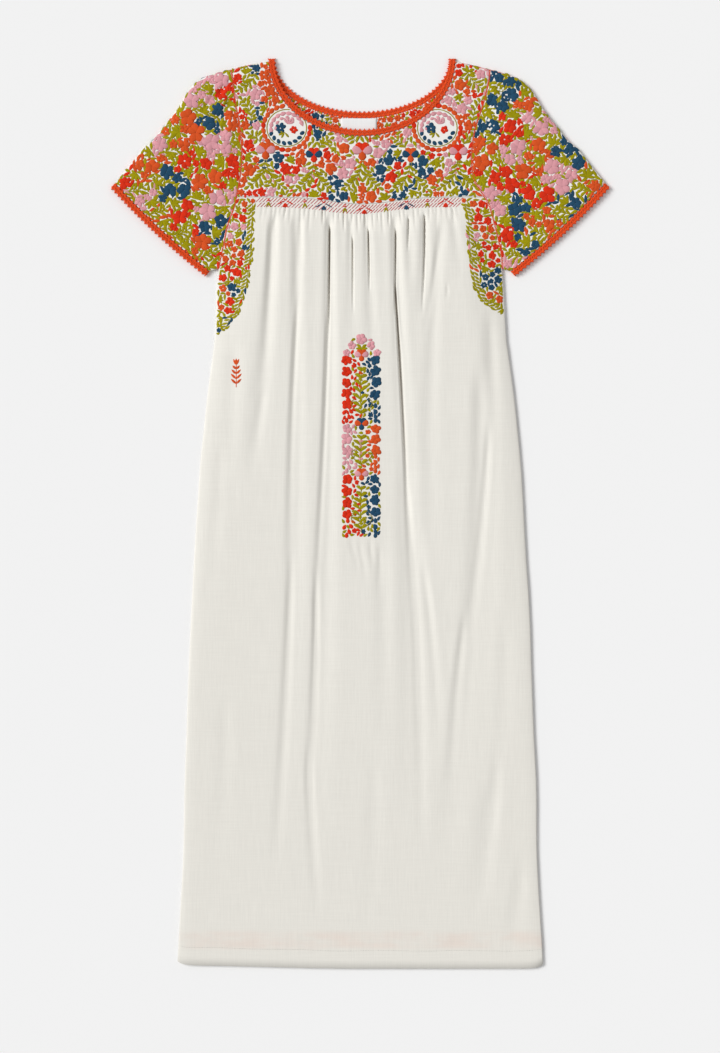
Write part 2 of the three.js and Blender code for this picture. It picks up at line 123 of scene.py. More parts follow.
# The folds of the solids, a little narrower, and with the darkest one where the photograph has it.
FOLDS = np.array([
    (-122, 432, -156, 50, 5, 4.0, 4.4, 14, 20),
    (-92, 432, -112, -500, 9, 2.6, 5, 17, 20),
    (-84, 430, -90, 290, 0, 1.8, 3.2, 8, 16),
    (-44, 432, -76, -520, 11, 3.6, 4.6, 19, 20),
    (-14, 428, -11, 240, 0, 1.9, 3.4, 8, 16),
    (9, 431, 20, 190, 0, 2.6, 4, 9, 16),
    (49, 432, 72, 20, -2, 4.0, 4.8, 11, 20),
    (66, 110, 74, -450, 0, 2.6, 10, 17, 90),
    (69, 431, 72, 335, 0, 2.0, 3.2, 6, 16),
    (91, 432, 88, 275, 2, 3.2, 3.8, 8, 16),
    (76, 10, 96, -380, 2, 2.2, 10, 15, 80),
    (117, 425, 106, -150, -12, 1.8, 5, 14, 30),
    (131, 430, 145, 335, 0, 1.6, 4, 8, 16),
    (170, 225, 118, -500, 17, 3.0, 8, 16, 70),
    (186, 300, 162, -400, 11, 2.2, 8, 15, 50),
    (190, -370, 164, -570, 0, 1.8, 11, 13, 60),
    (233, -480, 213, -625, 3, 1.8, 9, 11, 60),
    (32, -20, 36, -320, 0, 1.6, 9, 12, 60),
    (-178, 262, -190, -20, 0, 1.6, 9, 13, 60),
    (-190, 613, -226, 572, 0, 4.8, 3.6, 6, 8),
    (-184, 592, -208, 548, 0, 4.2, 3.6, 6, 8),
    (192, 613, 226, 576, 0, 4.4, 3.6, 6, 8),
    (182, 590, 207, 548, 0, 4.2, 3.6, 6, 8),
], dtype=FOLD_COLUMNS)

# Finer creases than the solids carry, in the same columns.
CREASES = np.array([
    (-43.6, 414, -45, 250, 0, 8.6, 1.2, 1.5, 14),
    (-46, 300, -67, -160, 3, 2.9, 2.3, 4.6, 60),
    (-63, -70, -73, -400, 3, 3.0, 3.2, 6, 80),
    (-74, -320, -59, -570, -3, 2.2, 4, 7, 60),
    (11.4, 408, 13.5, 318, 0, 6.4, 1.0, 1.4, 9),
    (-11, 398, -10, 286, 0, 4.4, 1.1, 1.6, 12),
    (50.7, 410, 49.5, 285, 0, 6.6, 1.1, 1.5, 14),
    (49, 335, 67, 12, 1, 8.0, 1.25, 2.0, 30),
    (54, 270, 70, -30, 1, 2.6, 2.2, 4, 50),
    (65, 60, 80, -170, 0, 2.4, 3.0, 6, 60),
    (78, -110, 88, -480, 2, 2.0, 4.5, 8, 80),
    (69, 424, 68, 374, 0, 4.4, 1.0, 1.4, 6),
    (92, 430, 88.5, 288, 1, 6.4, 1.1, 1.5, 10),
    (123.5, 326, 121, 306, 2, 1.6, 1.6, 2.2, 5),
    (112, 396, 88, 250, 3, 1.3, 3, 4, 40),
    (-85, 428, -84, 350, 0, 1.8, 2.2, 4, 20),
    (-87, 330, -101, -90, -4, 2.6, 2.8, 5, 80),
    (-98, -40, -122, -510, 3, 2.4, 4, 7, 90),
    (-128, 425, -139, 180, 2, 2.0, 3.0, 6, 30),
    (-136, 190, -152, 80, 0, 1.4, 4, 7, 40),
    (-18, -34, -2, -84, 3, 1.2, 3, 4, 14),
    (-4, -40, 8, -96, 2, 1.1, 3, 4, 14),
    (14, -36, 22, -78, -2, 1.3, 3, 4, 12),
    (27, -44, 24, -120, 2, 1.0, 3, 5, 20),
    (184, 140, 150, -190, 6, 2.4, 3.6, 6.5, 60),
    (151, -130, 128, -400, -3, 2.2, 4, 7, 60),
    (88, -60, 112, -330, 4, 1.8, 4, 7, 60),
    (196, -330, 172, -560, 4, 1.4, 6, 9, 60),
    (-200, 120, -214, -120, 3, 1.0, 6, 10, 60),
    (-192, -240, -206, -520, 4, 0.9, 8, 12, 80),
    (20, -330, 12, -600, 3, 0.9, 9, 13, 80),
    (204, -120, 196, -380, 6, 1.0, 8, 12, 80),
    (-205, 612, -236, 566, 3, 2.4, 2.4, 4, 8),
    (-188, 570, -216, 512, 3, 2.8, 2.6, 5, 8),
    (-200, 540, -222, 470, -3, 0.9, 3, 6, 14),
    (205, 606, 238, 566, -3, 2.4, 2.4, 4, 8),
    (182, 566, 210, 508, -3, 2.8, 2.6, 5, 8),
    (188, 530, 214, 452, 3, 0.9, 3, 6, 14),
], dtype=FOLD_COLUMNS)

# Short pleats under the smocked strip: where each leaves it, how long it is, and how far it leans.
PLEAT_COLUMNS = [(key, float) for key in ("x", "long", "lean", "depth", "wide")]
PLEATS = np.array([
    (-139, 24, -3, 1.4, 1.2), (-132.5, 15, -2, 1.3, 1.0), (-125, 19, -1, 2.2, 1.0), (-119, 32, -3, 1.5, 1.4),
    (-113, 13, -1, 1.4, 0.9), (-106.4, 20, -2, 3.2, 1.0), (-99, 27, -2, 1.4, 1.2), (-92, 12, 0, 1.3, 0.9),
    (-85, 24, 0, 2.0, 1.1), (-78, 18, -1, 1.6, 1.0), (-71.5, 36, -2, 1.3, 1.4), (-64, 15, 0, 1.8, 0.9),
    (-54, 22, 1, 3.6, 1.0), (-49, 12, 0, 1.6, 0.9), (-37, 25, 0, 1.5, 1.2), (-30, 14, 0, 1.5, 0.9),
    (-23.6, 28, 1, 2.8, 1.0), (-17, 12, 0, 1.4, 0.9), (-11, 16, 0, 2.0, 1.0), (-4, 30, 1, 1.5, 1.3),
    (1.5, 12, 0, 1.6, 0.9), (6.4, 20, 1, 3.2, 1.0), (18, 26, 1, 1.4, 1.2), (25, 14, 1, 1.8, 0.9),
    (31, 34, 2, 1.4, 1.4), (40, 22, 1, 3.2, 1.0), (45, 12, 0, 1.4, 0.9), (57, 22, 2, 1.8, 1.1),
    (63, 13, 1, 1.5, 0.9), (77, 30, 1, 1.6, 1.2), (84, 14, 0, 1.6, 0.9), (99, 26, 0, 1.8, 1.1),
    (105, 13, 0, 1.5, 0.9), (110, 34, -2, 1.4, 1.4), (117, 14, 0, 1.6, 0.9), (124, 20, 1, 1.8, 1.0),
    (131.7, 24, 2, 3.0, 1.0), (138, 14, 1, 1.4, 0.9),
], dtype=PLEAT_COLUMNS)


# ---------------------------------------------------------------- form of the cloth

def lerp(a, b, t):
    """A share t of the way from a to b."""
    return a + (b - a) * t


def away(x, y, turn, long, high=None):
    """Place at a distance and in a direction from another, or on an ellipse of two half sizes round it."""
    return x + long * math.cos(turn), y + (long if high is None else high) * math.sin(turn)


def smooth(t):
    """Goes from 0 to 1 with level ends: three t squared less two t cubed."""
    c = np.clip(t, 0, 1)
    return c * c * (3 - 2 * c)


def follow(rows, column, y):
    """One column of a table whose rows go down in y, as a smooth curve.

    Between two rows it is the cubic whose slope at each is that of the line joining the row's neighbours.
    """
    levels, values = rows["y"], rows[column]
    last = len(levels) - 1
    order = np.arange(last + 1)
    before, after = np.maximum(order - 1, 0), np.minimum(order + 1, last)
    slope = (values[after] - values[before]) / (levels[after] - levels[before])
    i = np.clip(np.searchsorted(-levels, -np.asarray(y, float), side="right") - 1, 0, last - 1)
    span = levels[i + 1] - levels[i]
    t = np.clip((y - levels[i]) / span, 0, 1)
    bend = (t * (1 - t) ** 2 * slope[i] - t * t * (1 - t) * slope[i + 1]) * span
    return lerp(values[i], values[i + 1], smooth(t)) + bend


def panel_edge(side, y):
    """Edge of a panel at a height on the garment: the armhole above the underarm, the side seam below it."""
    return np.where(y > UNDERARM_Y, follow(ARMHOLE, side, y), follow(SIDE_SEAM, side, y))


def yoke_seam(x):
    """The yoke's lower seam is level and sags by a bell curve in the middle."""
    return YOKE_Y - YOKE_SAG * np.exp(-(((x - 4) / YOKE_SPREAD) ** 2))


def folded_lines():
    """Lines along which the upper layer meets the lower one: shoulders, sleeve folds and side seams."""
    lines = []
    for side, sign in SIGN.items():
        tip = [(NECK_X + sign * NECK_HALF, NECK_Y)]
        lines.append(np.vstack([tip, UPPER_FOLD * (sign, 1)]))
        seam = np.column_stack([SIDE_SEAM[side], SIDE_SEAM["y"]])
        lines.append(np.vstack([[(sign * CUFF_LOW[0], CUFF_LOW[1])], seam]))
    return lines


def distance_to(line, x, y):
    """Distance of each place to a line of points: the least over its segments."""
    best = np.full(np.shape(x), np.inf)
    for a, b in zip(line[:-1], line[1:]):
        d = b - a
        t = np.clip(((x - a[0]) * d[0] + (y - a[1]) * d[1]) / (d @ d), 0, 1)
        best = np.minimum(best, np.hypot(x - a[0] - t * d[0], y - a[1] - t * d[1]))
    return best


FOLDED_LINES = folded_lines()


def pleat_folds():
    """The short pleats as rows of the fold table, each from the foot of the smocked strip downwards."""
    rows = np.zeros(len(PLEATS), dtype=FOLD_COLUMNS)
    foot = yoke_seam(PLEATS["x"]) - SMOCKING + 2
    rows["x"], rows["y"] = PLEATS["x"], foot
    rows["to_x"], rows["to_y"] = PLEATS["x"] + PLEATS["lean"], foot - PLEATS["long"]
    rows["depth"], rows["wide"], rows["spread"] = PLEATS["depth"], PLEATS["wide"], PLEATS["wide"] * 1.5
    rows["rise"] = 4
    return rows


FINE_FOLDS = np.concatenate([CREASES, pleat_folds()])


def fold_depths(folds, x, y):
    """Summed depth of the folds at each place.

    A fold is a bell-shaped trough with a low ridge along each side. Its strength rises over its first
    stretch and fades towards its end, and its centre line is bowed sideways.
    """
    total = np.zeros(np.shape(x))
    for fold in folds:
        dx, dy = fold["to_x"] - fold["x"], fold["to_y"] - fold["y"]
        long = math.hypot(dx, dy)
        along = ((x - fold["x"]) * dx + (y - fold["y"]) * dy) / long ** 2
        on = (along > 0) & (along < 1)
        s = np.clip(along, 0, 1)
        across = ((y - fold["y"]) * dx - (x - fold["x"]) * dy) / long - 4 * fold["bow"] * s * (1 - s)
        t = across / lerp(fold["wide"], fold["spread"], s)
        strength = smooth(s * long / fold["rise"]) * (1 - s) ** 0.7 * on
        total += fold["depth"] * strength * (1 - 0.42 * t * t) * np.exp(-0.5 * t * t)
    return total


def upper_top(x, y):
    """Height of the outside of the upper layer.

    It rolls up from each folded edge as a quarter ellipse, lies flat over the yoke, puffs up below the
    smocked strip where the cloth is gathered and at the sleeve heads, and sinks in the folds, softly stopped
    above the lower layer.
    """
    inset = np.minimum.reduce([distance_to(line, x, y) for line in FOLDED_LINES])
    drop = yoke_seam(x) - y
    gathered = 1 - smooth((np.abs(x) - GATHER_HALF - GATHER_WIDENS * np.maximum(drop, 0)) / GATHER_FADES)
    rise = smooth((drop - SMOCKING + 6) / LOFT_RISE) * np.exp(-((drop / LOFT_FADES) ** 2)) * (drop > 0)
    puff = smooth((np.abs(x) - PUFF_X) / PUFF_RISE) * np.exp(-(((y - PUFF_Y) / PUFF_TALL) ** 2))
    flat = YOKE_TOP + LOFT * gathered * rise + SLEEVE_PUFF * puff - HEM_DROP * smooth(drop / 1100)
    sunk = (fold_depths(FOLDS, x, y) + fold_depths(FINE_FOLDS, x, y)) * smooth(inset / FOLD_INSET)
    t = np.clip(inset / ROLL, 0, 1)
    top = EDGE_TOP + (flat - EDGE_TOP) * np.sqrt(1 - (1 - t) ** 2) - sunk
    over = top - LOWEST
    lifted = np.where(inset < ROLL, top, LOWEST + (over + np.sqrt(over * over + SOFT_STOP)) / 2)
    return np.maximum(lifted, np.where(inset < ROLL, EDGE_TOP, LOWEST))


def back_ripple(x, y):
    """Folds of the back panel, which lies under the front: the front's, turned over and pressed flat.

    Their summed depth is softly stopped, and dies out at the seam and at the panel's edges.
    """
    folds = np.concatenate([FOLDS, FINE_FOLDS])
    folds["wide"] = np.maximum(folds["wide"], 2.6)
    folds["spread"] = np.maximum(folds["spread"], 4.5)
    sunk = fold_depths(folds, BACK_SHIFT - x, y)
    edge = np.minimum(x - panel_edge("left", y), panel_edge("right", y) - x)
    fade = smooth((yoke_seam(x) - y - 2) / 14) * smooth(edge / 30) * smooth((y - HEM_Y) / 20)
    return BACK_RIPPLE * (2 * np.tanh(sunk / 1.6) - 1) * fade


# ---------------------------------------------------------------- meshes

def add_piece(name, points, loops, sizes, material, uv, colour=None):
    """Object from points in millimetres, its faces' corners in one row, and each face's corner count."""
    mesh = bpy.data.meshes.new(name)
    mesh.vertices.add(len(points))
    mesh.vertices.foreach_set("co", np.ascontiguousarray(points * MM, dtype=np.float32).ravel())
    mesh.loops.add(len(loops))
    mesh.loops.foreach_set("vertex_index", np.ascontiguousarray(loops, dtype=np.int32))
    mesh.polygons.add(len(sizes))
    starts = np.concatenate([[0], np.cumsum(sizes)[:-1]]).astype(np.int32)
    mesh.polygons.foreach_set("loop_start", starts)
    mesh.update(calc_edges=True)
    mesh.polygons.foreach_set("use_smooth", np.ones(len(sizes), dtype=bool))
    layer = mesh.uv_layers.new(name="Along")
    layer.data.foreach_set("uv", np.ascontiguousarray(uv[loops] * MM, dtype=np.float32).ravel())
    if colour is not None:
        layer = mesh.attributes.new("thread_colour", "FLOAT_COLOR", "POINT")
        full = np.column_stack([colour, np.ones(len(colour))]).astype(np.float32)
        layer.data.foreach_set("color", full.ravel())
    mesh.validate()
    mesh.materials.append(material)
    piece = bpy.data.objects.new(name, mesh)
    bpy.context.scene.collection.objects.link(piece)
    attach(piece, "root")
    return piece


def quad_piece(name, points, quads, material, uv, colour=None):
    """Object whose faces all have four corners."""
    return add_piece(name, points, quads.ravel(), np.full(len(quads), 4), material, uv, colour)


def grid_quads(rows, columns, flip=False):
    """Quads of a grid of points numbered along its rows."""
    r, c = np.meshgrid(np.arange(rows - 1), np.arange(columns - 1), indexing="ij")
    a = (r * columns + c).ravel()
    quads = np.column_stack([a, a + columns, a + columns + 1, a + 1])
    return quads[:, ::-1] if flip else quads


def wall(name, x, y, top, bottom, material):
    """Closed wall of cloth over a grid of plan points whose rows go down and columns go right.

    The upper and lower faces are the same grid at two heights, joined by a rim of quads.
    """
    rows, columns = x.shape
    half = rows * columns
    points = np.vstack([np.column_stack([x.ravel(), y.ravel(), z.ravel()]) for z in (top, bottom)])
    at = np.arange(half).reshape(rows, columns)
    rim = np.concatenate([at[:-1, 0], at[-1, :-1], at[:0:-1, -1], at[0, :0:-1]])
    after = np.roll(rim, -1)
    sides = np.column_stack([rim, rim + half, after + half, after])
    quads = np.vstack([grid_quads(rows, columns), grid_quads(rows, columns, True) + half, sides])
    return quad_piece(name, points, quads, material, points[:, :2])


def tube_piece(name, outside, inside, material, flip=False):
    """Flattened tube of cloth from loops of outside and inside points, with a rim at each open end."""
    loops_count, around = outside.shape[:2]
    points = np.concatenate([outside, inside], axis=1).reshape(-1, 3)
    loop, i = np.meshgrid(np.arange(loops_count - 1), np.arange(around), indexing="ij")
    j = (i + 1) % around
    a, b = (loop * 2 * around + i).ravel(), (loop * 2 * around + j).ravel()
    step = 2 * around
    outer = np.column_stack([a, a + step, b + step, b])
    inner = np.column_stack([a, b, b + step, a + step]) + around
    n = np.arange(around)
    m = (n + 1) % around
    start = np.column_stack([n, m, m + around, n + around])
    last = (loops_count - 1) * step
    end = np.column_stack([n, n + around, m + around, m]) + last
    quads = np.vstack([outer, inner, start, end])
    if flip:
        quads = quads[:, ::-1]
    return quad_piece(name, points, quads, material, points[:, :2])


# ---------------------------------------------------------------- plan of the pieces

def across_panel(left, right, columns):
    """Columns of a skirt panel at each level: even in a parameter that is drawn towards the middle."""
    u = np.linspace(-1, 1, columns)
    share = (EVEN_ACROSS * u + (1 - EVEN_ACROSS) * u ** 3 + 1) / 2
    ends = np.array([0, 1.5, 4, 8])
    inner = np.outer(left + 12, 1 - share) + np.outer(right - 12, share)
    return np.hstack([left[:, None] + ends, inner, right[:, None] - ends[::-1]])


def skirt_plan(rows, columns, power):
    """Plan of a skirt panel: rows that follow the sagging yoke seam above and the hem below.

    The rows' drops are a line and a power of their number added up, so that they lie closest at the top.
    """
    t = np.linspace(0, 1, rows)
    drops = SEAM + (SKIRT_LONG - SEAM) * (EVEN_DOWN * t + DRAWN_DOWN * t ** power)
    level = YOKE_Y - drops
    x = across_panel(panel_edge("left", level), panel_edge("right", level), columns)
    edge = np.minimum(x - x[:, :1], x[:, -1:] - x)
    seam_share = (1 - smooth(drops / 160))[:, None]
    hem_share = smooth((drops - 900) / 200)[:, None]
    hem = 6 * np.exp(-edge / 7) + 4.5 * smooth(-x / 260)
    y = level[:, None] + (yoke_seam(x) - YOKE_Y) * seam_share + hem * hem_share
    return x, y


def neck_point(deep, out, turn):
    """Half ellipse of the neck, widened by out, from the left tip down and round to the right tip."""
    return np.stack([
        NECK_X - (NECK_HALF + out) * np.cos(turn),
        NECK_Y - (deep + out) * np.sin(turn),
    ], axis=-1)


def spaced(line, share):
    """Points at shares of the way along a line of points."""
    steps = np.hypot(*np.diff(line, axis=0).T)
    reached = np.concatenate([[0], np.cumsum(steps)])
    place = np.clip(share, 0, 1) * reached[-1]
    return np.stack([np.interp(place, reached, line[:, k]) for k in (0, 1)], axis=-1)


def filled(lines, s, t):
    """Plan points filled in between four edges that meet at their corners, at shares s across and t down.

    The ruling between top and bottom and the one between left and right are added, less the one through
    the four corners.
    """
    top, bottom = lines["top"](s), lines["bottom"](s)
    left, right = lines["left"](t), lines["right"](t)
    a, b, c, d = lines["corners"]
    s, t = s[..., None], t[..., None]
    return lerp(top, bottom, t) + lerp(left, right, s) - lerp(lerp(a, b, s), lerp(c, d, s), t)


def armhole_line(side, steps, low=UNDERARM_Y):
    """Points down an armhole, from the shoulder to a height."""
    y = np.linspace(ARMHOLE["y"][0], low, steps)
    return np.column_stack([panel_edge(side, y), y])


def yoke_plan(deep, rows, shoulder=7, neck=80):
    """Plan of a yoke between its neckline with the shoulders, the gathered seam and the armholes."""
    turns = np.linspace(NECK_TIP, math.pi - NECK_TIP, neck)
    curve = neck_point(deep, EDGING_WIDE / 2 + SEAM, turns)
    arm = {side: armhole_line(side, rows, YOKE_Y) for side in SIGN}
    shares = np.arange(shoulder) / shoulder
    lines = {}
    for side, sign, tip in (("left", -1, curve[0]), ("right", 1, curve[-1])):
        bend = UPPER_FOLD[SLEEVE_HEAD - 1] * (sign, 1)
        lines[side] = spaced(np.array([arm[side][0], bend, tip]), shares)
    top = np.vstack([lines["left"], curve, lines["right"][::-1]])
    s = np.linspace(0, 1, len(top))
    x = lerp(arm["left"][-1, 0], arm["right"][-1, 0], s)
    seam = np.column_stack([x, yoke_seam(x)])
    left, right = arm["left"], arm["right"]
    columns = np.arange(len(top))

    def by_column(line):
        return lambda share: line[np.rint(share * (len(line) - 1)).astype(int)]

    lines = {"top": by_column(top), "bottom": by_column(seam), "left": by_column(left),
             "right": by_column(right), "corners": (left[0], right[0], left[-1], right[-1])}
    grid_s, grid_t = np.meshgrid(columns / columns[-1], np.linspace(0, 1, rows))
    plan = filled(lines, grid_s, grid_t)
    return plan[..., 0], plan[..., 1]


def sleeve_edges(side):
    """The four edges of a sleeve and of its cuff edging, from the upper fold to the underarm fold."""
    sign = SIGN[side]
    arm = armhole_line(side, 60) + (sign * SEAM, 0)
    tip, low = UPPER_FOLD[-1] * (sign, 1), np.array(CUFF_LOW) * (sign, 1)
    long = np.hypot(*(tip - low))
    out = np.array([sign * (tip[1] - low[1]), -abs(tip[0] - low[0])]) / long

    def cuff(back):
        s = np.linspace(0, 1, 60)[:, None]
        return lerp(tip, low, s) + out * (CUFF_BOW * 4 * s * (1 - s) - back)

    end = cuff(EDGING_WIDE + SEAM)
    fold = np.vstack([arm[:1], UPPER_FOLD[SLEEVE_HEAD + 1:] * (sign, 1)])
    whole = np.hypot(*np.diff(fold, axis=0).T).sum()
    share = 1 - (EDGING_WIDE + SEAM) / whole
    t = np.linspace(0, 1, 60)
    upper = spaced(fold, t * share)
    upper = upper + (end[0] - upper[-1]) * t[:, None]
    lower = lerp(arm[-1], end[-1], t[:, None])
    return {"start": arm, "end": end, "upper": upper, "lower": lower, "cuff": cuff(0),
            "edging_start": cuff(EDGING_WIDE), "out": out}


def sleeve_at(edges, s, t):
    """Places on a laid sleeve, s across from the upper to the underarm fold and t from armhole to cuff."""
    start, end = edges["start"], edges["end"]
    lines = {"top": lambda share: spaced(start, share), "bottom": lambda share: spaced(end, share),
             "left": lambda share: spaced(edges["upper"], share),
             "right": lambda share: spaced(edges["lower"], share),
             "corners": (start[0], start[-1], end[0], end[-1])}
    return filled(lines, s, t)


# ---------------------------------------------------------------- materials

def new_group(name, inputs, outputs):
    """Shader node group with named inputs and outputs."""
    tree = bpy.data.node_groups.new(name, "ShaderNodeTree")
    for label, kind, value in inputs:
        socket = tree.interface.new_socket(label, in_out="INPUT", socket_type=kind)
        if value is not None:
            socket.default_value = value
    for label, kind in outputs:
        tree.interface.new_socket(label, in_out="OUTPUT", socket_type=kind)
    return tree, tree.nodes.new("NodeGroupInput"), tree.nodes.new("NodeGroupOutput")


class Wires:
    """Short names for the nodes that the materials are made of."""

    def __init__(self, tree):
        self.tree = tree

    def node(self, kind, **settings):
        node = self.tree.nodes.new(kind)
        for key, value in settings.items():
            setattr(node, key, value)
        return node

    def link(self, source, target):
        self.tree.links.new(source, target)

    def math(self, operation, a, b=None, c=None):
        """Math node whose inputs are numbers or sockets."""
        node = self.node("ShaderNodeMath", operation=operation)
        for socket, value in zip(node.inputs, (a, b, c)):
            if value is None:
                continue
            if isinstance(value, (int, float)):
                socket.default_value = value
            else:
                self.link(value, socket)
        return node.outputs[0]

    def noise(self, vector, scale, detail, roughness):
        node = self.node("ShaderNodeTexNoise")
        self.link(vector, node.inputs["Vector"])
        node.inputs["Scale"].default_value = scale
        node.inputs["Detail"].default_value = detail
        node.inputs["Roughness"].default_value = roughness
        return node.outputs["Fac"]

    def mapping(self, vector, scale):
        node = self.node("ShaderNodeMapping")
        self.link(vector, node.inputs["Vector"])
        node.inputs["Scale"].default_value = scale
        return node.outputs[0]

    def spread(self, value, low, high, to_low, to_high):
        """Smooth step of a value from one range to another."""
        node = self.node("ShaderNodeMapRange", interpolation_type="SMOOTHSTEP")
        self.link(value, node.inputs["Value"])
        for key, number in (("From Min", low), ("From Max", high), ("To Min", to_low), ("To Max", to_high)):
            node.inputs[key].default_value = number
        return node.outputs["Result"]

    def mix(self, share, a, b, blend="MIX"):
        """Mix of two colours, each a socket or a tuple."""
        node = self.node("ShaderNodeMix", data_type="RGBA", blend_type=blend)
        for socket, value in zip((node.inputs[0], node.inputs[6], node.inputs[7]), (share, a, b)):
            if isinstance(value, (int, float)):
                socket.default_value = value
            elif isinstance(value, tuple):
                socket.default_value = (*value, 1)
            else:
                self.link(value, socket)
        return node.outputs[2]


def srgb(r, g, b):
    """Linear colour from a colour given in 0 to 255 as a screen shows it."""
    c = np.array([r, g, b]) / 255
    return tuple(float(v) for v in np.where(c <= 0.04045, c / 12.92, ((c + 0.055) / 1.055) ** 2.4))


def weave_group():
    """Plain weave: threads over and under each other, with slubs, as a height and a tone.

    The height is the product of two waves at the thread pitch; slubs are noise stretched along each thread.
    """
    tree, source, result = new_group(
        "Plain weave", [("Vector", "NodeSocketVector", None), ("Threads", "NodeSocketFloat", 1500.0)],
        [("Height", "NodeSocketFloat"), ("Tone", "NodeSocketFloat")])
    w = Wires(tree)
    split = w.node("ShaderNodeSeparateXYZ")
    w.link(source.outputs["Vector"], split.inputs[0])
    turn = w.math("MULTIPLY", source.outputs["Threads"], math.pi)
    across = w.math("SINE", w.math("MULTIPLY", split.outputs[0], turn))
    along = w.math("SINE", w.math("MULTIPLY", split.outputs[1], turn))
    knot = w.math("MULTIPLY_ADD", w.math("MULTIPLY", across, along), 0.5, 0.5)
    warp = w.noise(w.mapping(source.outputs["Vector"], (520, 22, 30)), 1.0, 3, 0.65)
    weft = w.noise(w.mapping(source.outputs["Vector"], (18, 480, 24)), 1.0, 3, 0.65)
    slub = w.math("ADD", w.math("MULTIPLY", warp, 1.25), w.math("MULTIPLY", weft, 0.75))
    w.link(w.math("ADD", w.math("MULTIPLY", knot, 0.6), w.math("MULTIPLY", slub, 0.5)),
           result.inputs["Height"])
    w.link(w.math("SUBTRACT", slub, 1.0), result.inputs["Tone"])
    return tree


def strand_group():
    """Parallel threads of satin stitch: a rounded ridge across each thread, uneven along it."""
    tree, source, result = new_group(
        "Stitch threads", [("Vector", "NodeSocketVector", None), ("Threads", "NodeSocketFloat", 1700.0)],
        [("Height", "NodeSocketFloat"), ("Tone", "NodeSocketFloat")])
    w = Wires(tree)
    wander = w.noise(w.mapping(source.outputs["Vector"], (120, 500, 1)), 1.0, 2, 0.5)
    split = w.node("ShaderNodeSeparateXYZ")
    w.link(source.outputs["Vector"], split.inputs[0])
    turn = w.math("MULTIPLY", source.outputs["Threads"], math.pi)
    place = w.math("MULTIPLY_ADD", split.outputs[1], turn, w.math("MULTIPLY", wander, 3.0))
    ridge = w.math("ABSOLUTE", w.math("SINE", place))
    w.link(ridge, result.inputs["Height"])
    w.link(w.math("SUBTRACT", w.noise(w.mapping(source.outputs["Vector"], (60, 900, 1)), 1.0, 2, 0.6), 0.5),
           result.inputs["Tone"])
    return tree


GROUPS = {}


def shared(name, build):
    """The node group of that name, built the first time it is asked for."""
    if name not in GROUPS:
        GROUPS[name] = build()
    return GROUPS[name]


def add_colour(w, shader, colour, tone):
    """Base colour: a colour times a tone that changes over the surface."""
    grey = w.node("ShaderNodeCombineColor")
    for socket in grey.inputs[:3]:
        w.link(tone, socket)
    w.link(w.mix(1.0, colour, grey.outputs[0], "MULTIPLY"), shader.inputs["Base Color"])


def start_material(name, roughness, sheen=0.0, sheen_rough=0.5):
    """Material with its own roughness and sheen set on the shader's sockets."""
    material = bpy.data.materials.new(name)
    material.use_nodes = True
    w = Wires(material.node_tree)
    shader = material.node_tree.nodes["Principled BSDF"]
    shader.inputs["Roughness"].default_value = roughness
    shader.inputs["Sheen Weight"].default_value = sheen
    shader.inputs["Sheen Roughness"].default_value = sheen_rough
    shader.inputs["Specular IOR Level"].default_value = 0.25
    return material, w, shader


def add_bump(w, shader, height, distance, strength):
    """Bump from a height, fed to the shader's normal."""
    bump = w.node("ShaderNodeBump")
    bump.inputs["Strength"].default_value = strength
    bump.inputs["Distance"].default_value = distance
    w.link(height, bump.inputs["Height"])
    w.link(bump.outputs[0], shader.inputs["Normal"])


def cotton_material(name, colour, warm, hem=False, stitched=False):
    """Unbleached cotton in a plain weave, a little warmer low down and in broad soft patches.

    The front panel's hem has the tone of its turned-up layer, and painted shade darkens the inside of its
    closed slits. A stitched piece has the threads' colours round its folded edges, where the flowers run over
    the fold.
    """
    material, w, shader = start_material(name, 0.9, 0.25, 0.5)
    place = w.node("ShaderNodeTexCoord").outputs["Object"]
    along = w.node("ShaderNodeUVMap", uv_map="Along").outputs[0]
    weave = w.node("ShaderNodeGroup", node_tree=shared("weave", weave_group))
    w.link(along, weave.inputs["Vector"])
    split = w.node("ShaderNodeSeparateXYZ")
    w.link(place, split.inputs[0])
    low = w.spread(split.outputs[1], 0.35, -0.65, 0.0, 1.0)
    patches = w.noise(place, 7.0, 3, 0.6)
    share = w.math("MULTIPLY_ADD", w.math("SUBTRACT", patches, 0.5), 0.5, low)
    tone = w.mix(share, colour, warm)
    if hem:
        under = w.spread(split.outputs[1], -0.616, -0.626, 0.0, 1.0)
        over = w.spread(split.outputs[1], -0.592, -0.603, 0.0, 1.0)
        band = w.math("MULTIPLY", over, w.math("SUBTRACT", 1.0, under))
        broken = w.spread(w.noise(w.mapping(place, (14, 30, 1)), 1.0, 3, 0.55), 0.33, 0.66, 0.1, 1.0)
        tone = w.mix(w.math("MULTIPLY", w.math("MULTIPLY", band, broken), 0.42), tone,
                     srgb(228, 206, 194))
        # Painted shade: the cotton turns brown inside the closed slits, by the share stored on the points.
        slit = w.node("ShaderNodeAttribute", attribute_name="slit").outputs["Fac"]
        tone = w.mix(slit, tone, srgb(138, 124, 108))
    if stitched:
        cells = w.node("ShaderNodeTexVoronoi")
        w.link(place, cells.inputs["Vector"])
        cells.inputs["Scale"].default_value = 110.0
        chance = w.node("ShaderNodeSeparateColor")
        w.link(cells.outputs["Color"], chance.inputs[0])
        threads = thread_colours()
        dyed = threads["green"]
        for key, share in (("red", 0.64), ("orange", 0.46), ("pink", 0.28), ("blue", 0.12)):
            dyed = w.mix(w.math("LESS_THAN", chance.outputs[0], share), dyed, threads[key])
        fold = w.math("MULTIPLY", w.spread(split.outputs[2], 0.0036, 0.0044, 1.0, 0.0),
                      w.spread(split.outputs[2], 0.0015, 0.0017, 0.0, 1.0))
        tone = w.mix(fold, tone, dyed)
    add_colour(w, shader, tone, w.math("MULTIPLY_ADD", weave.outputs["Tone"], 0.12, 1.0))
    add_bump(w, shader, weave.outputs["Height"], 0.00012, 0.7)
    return material


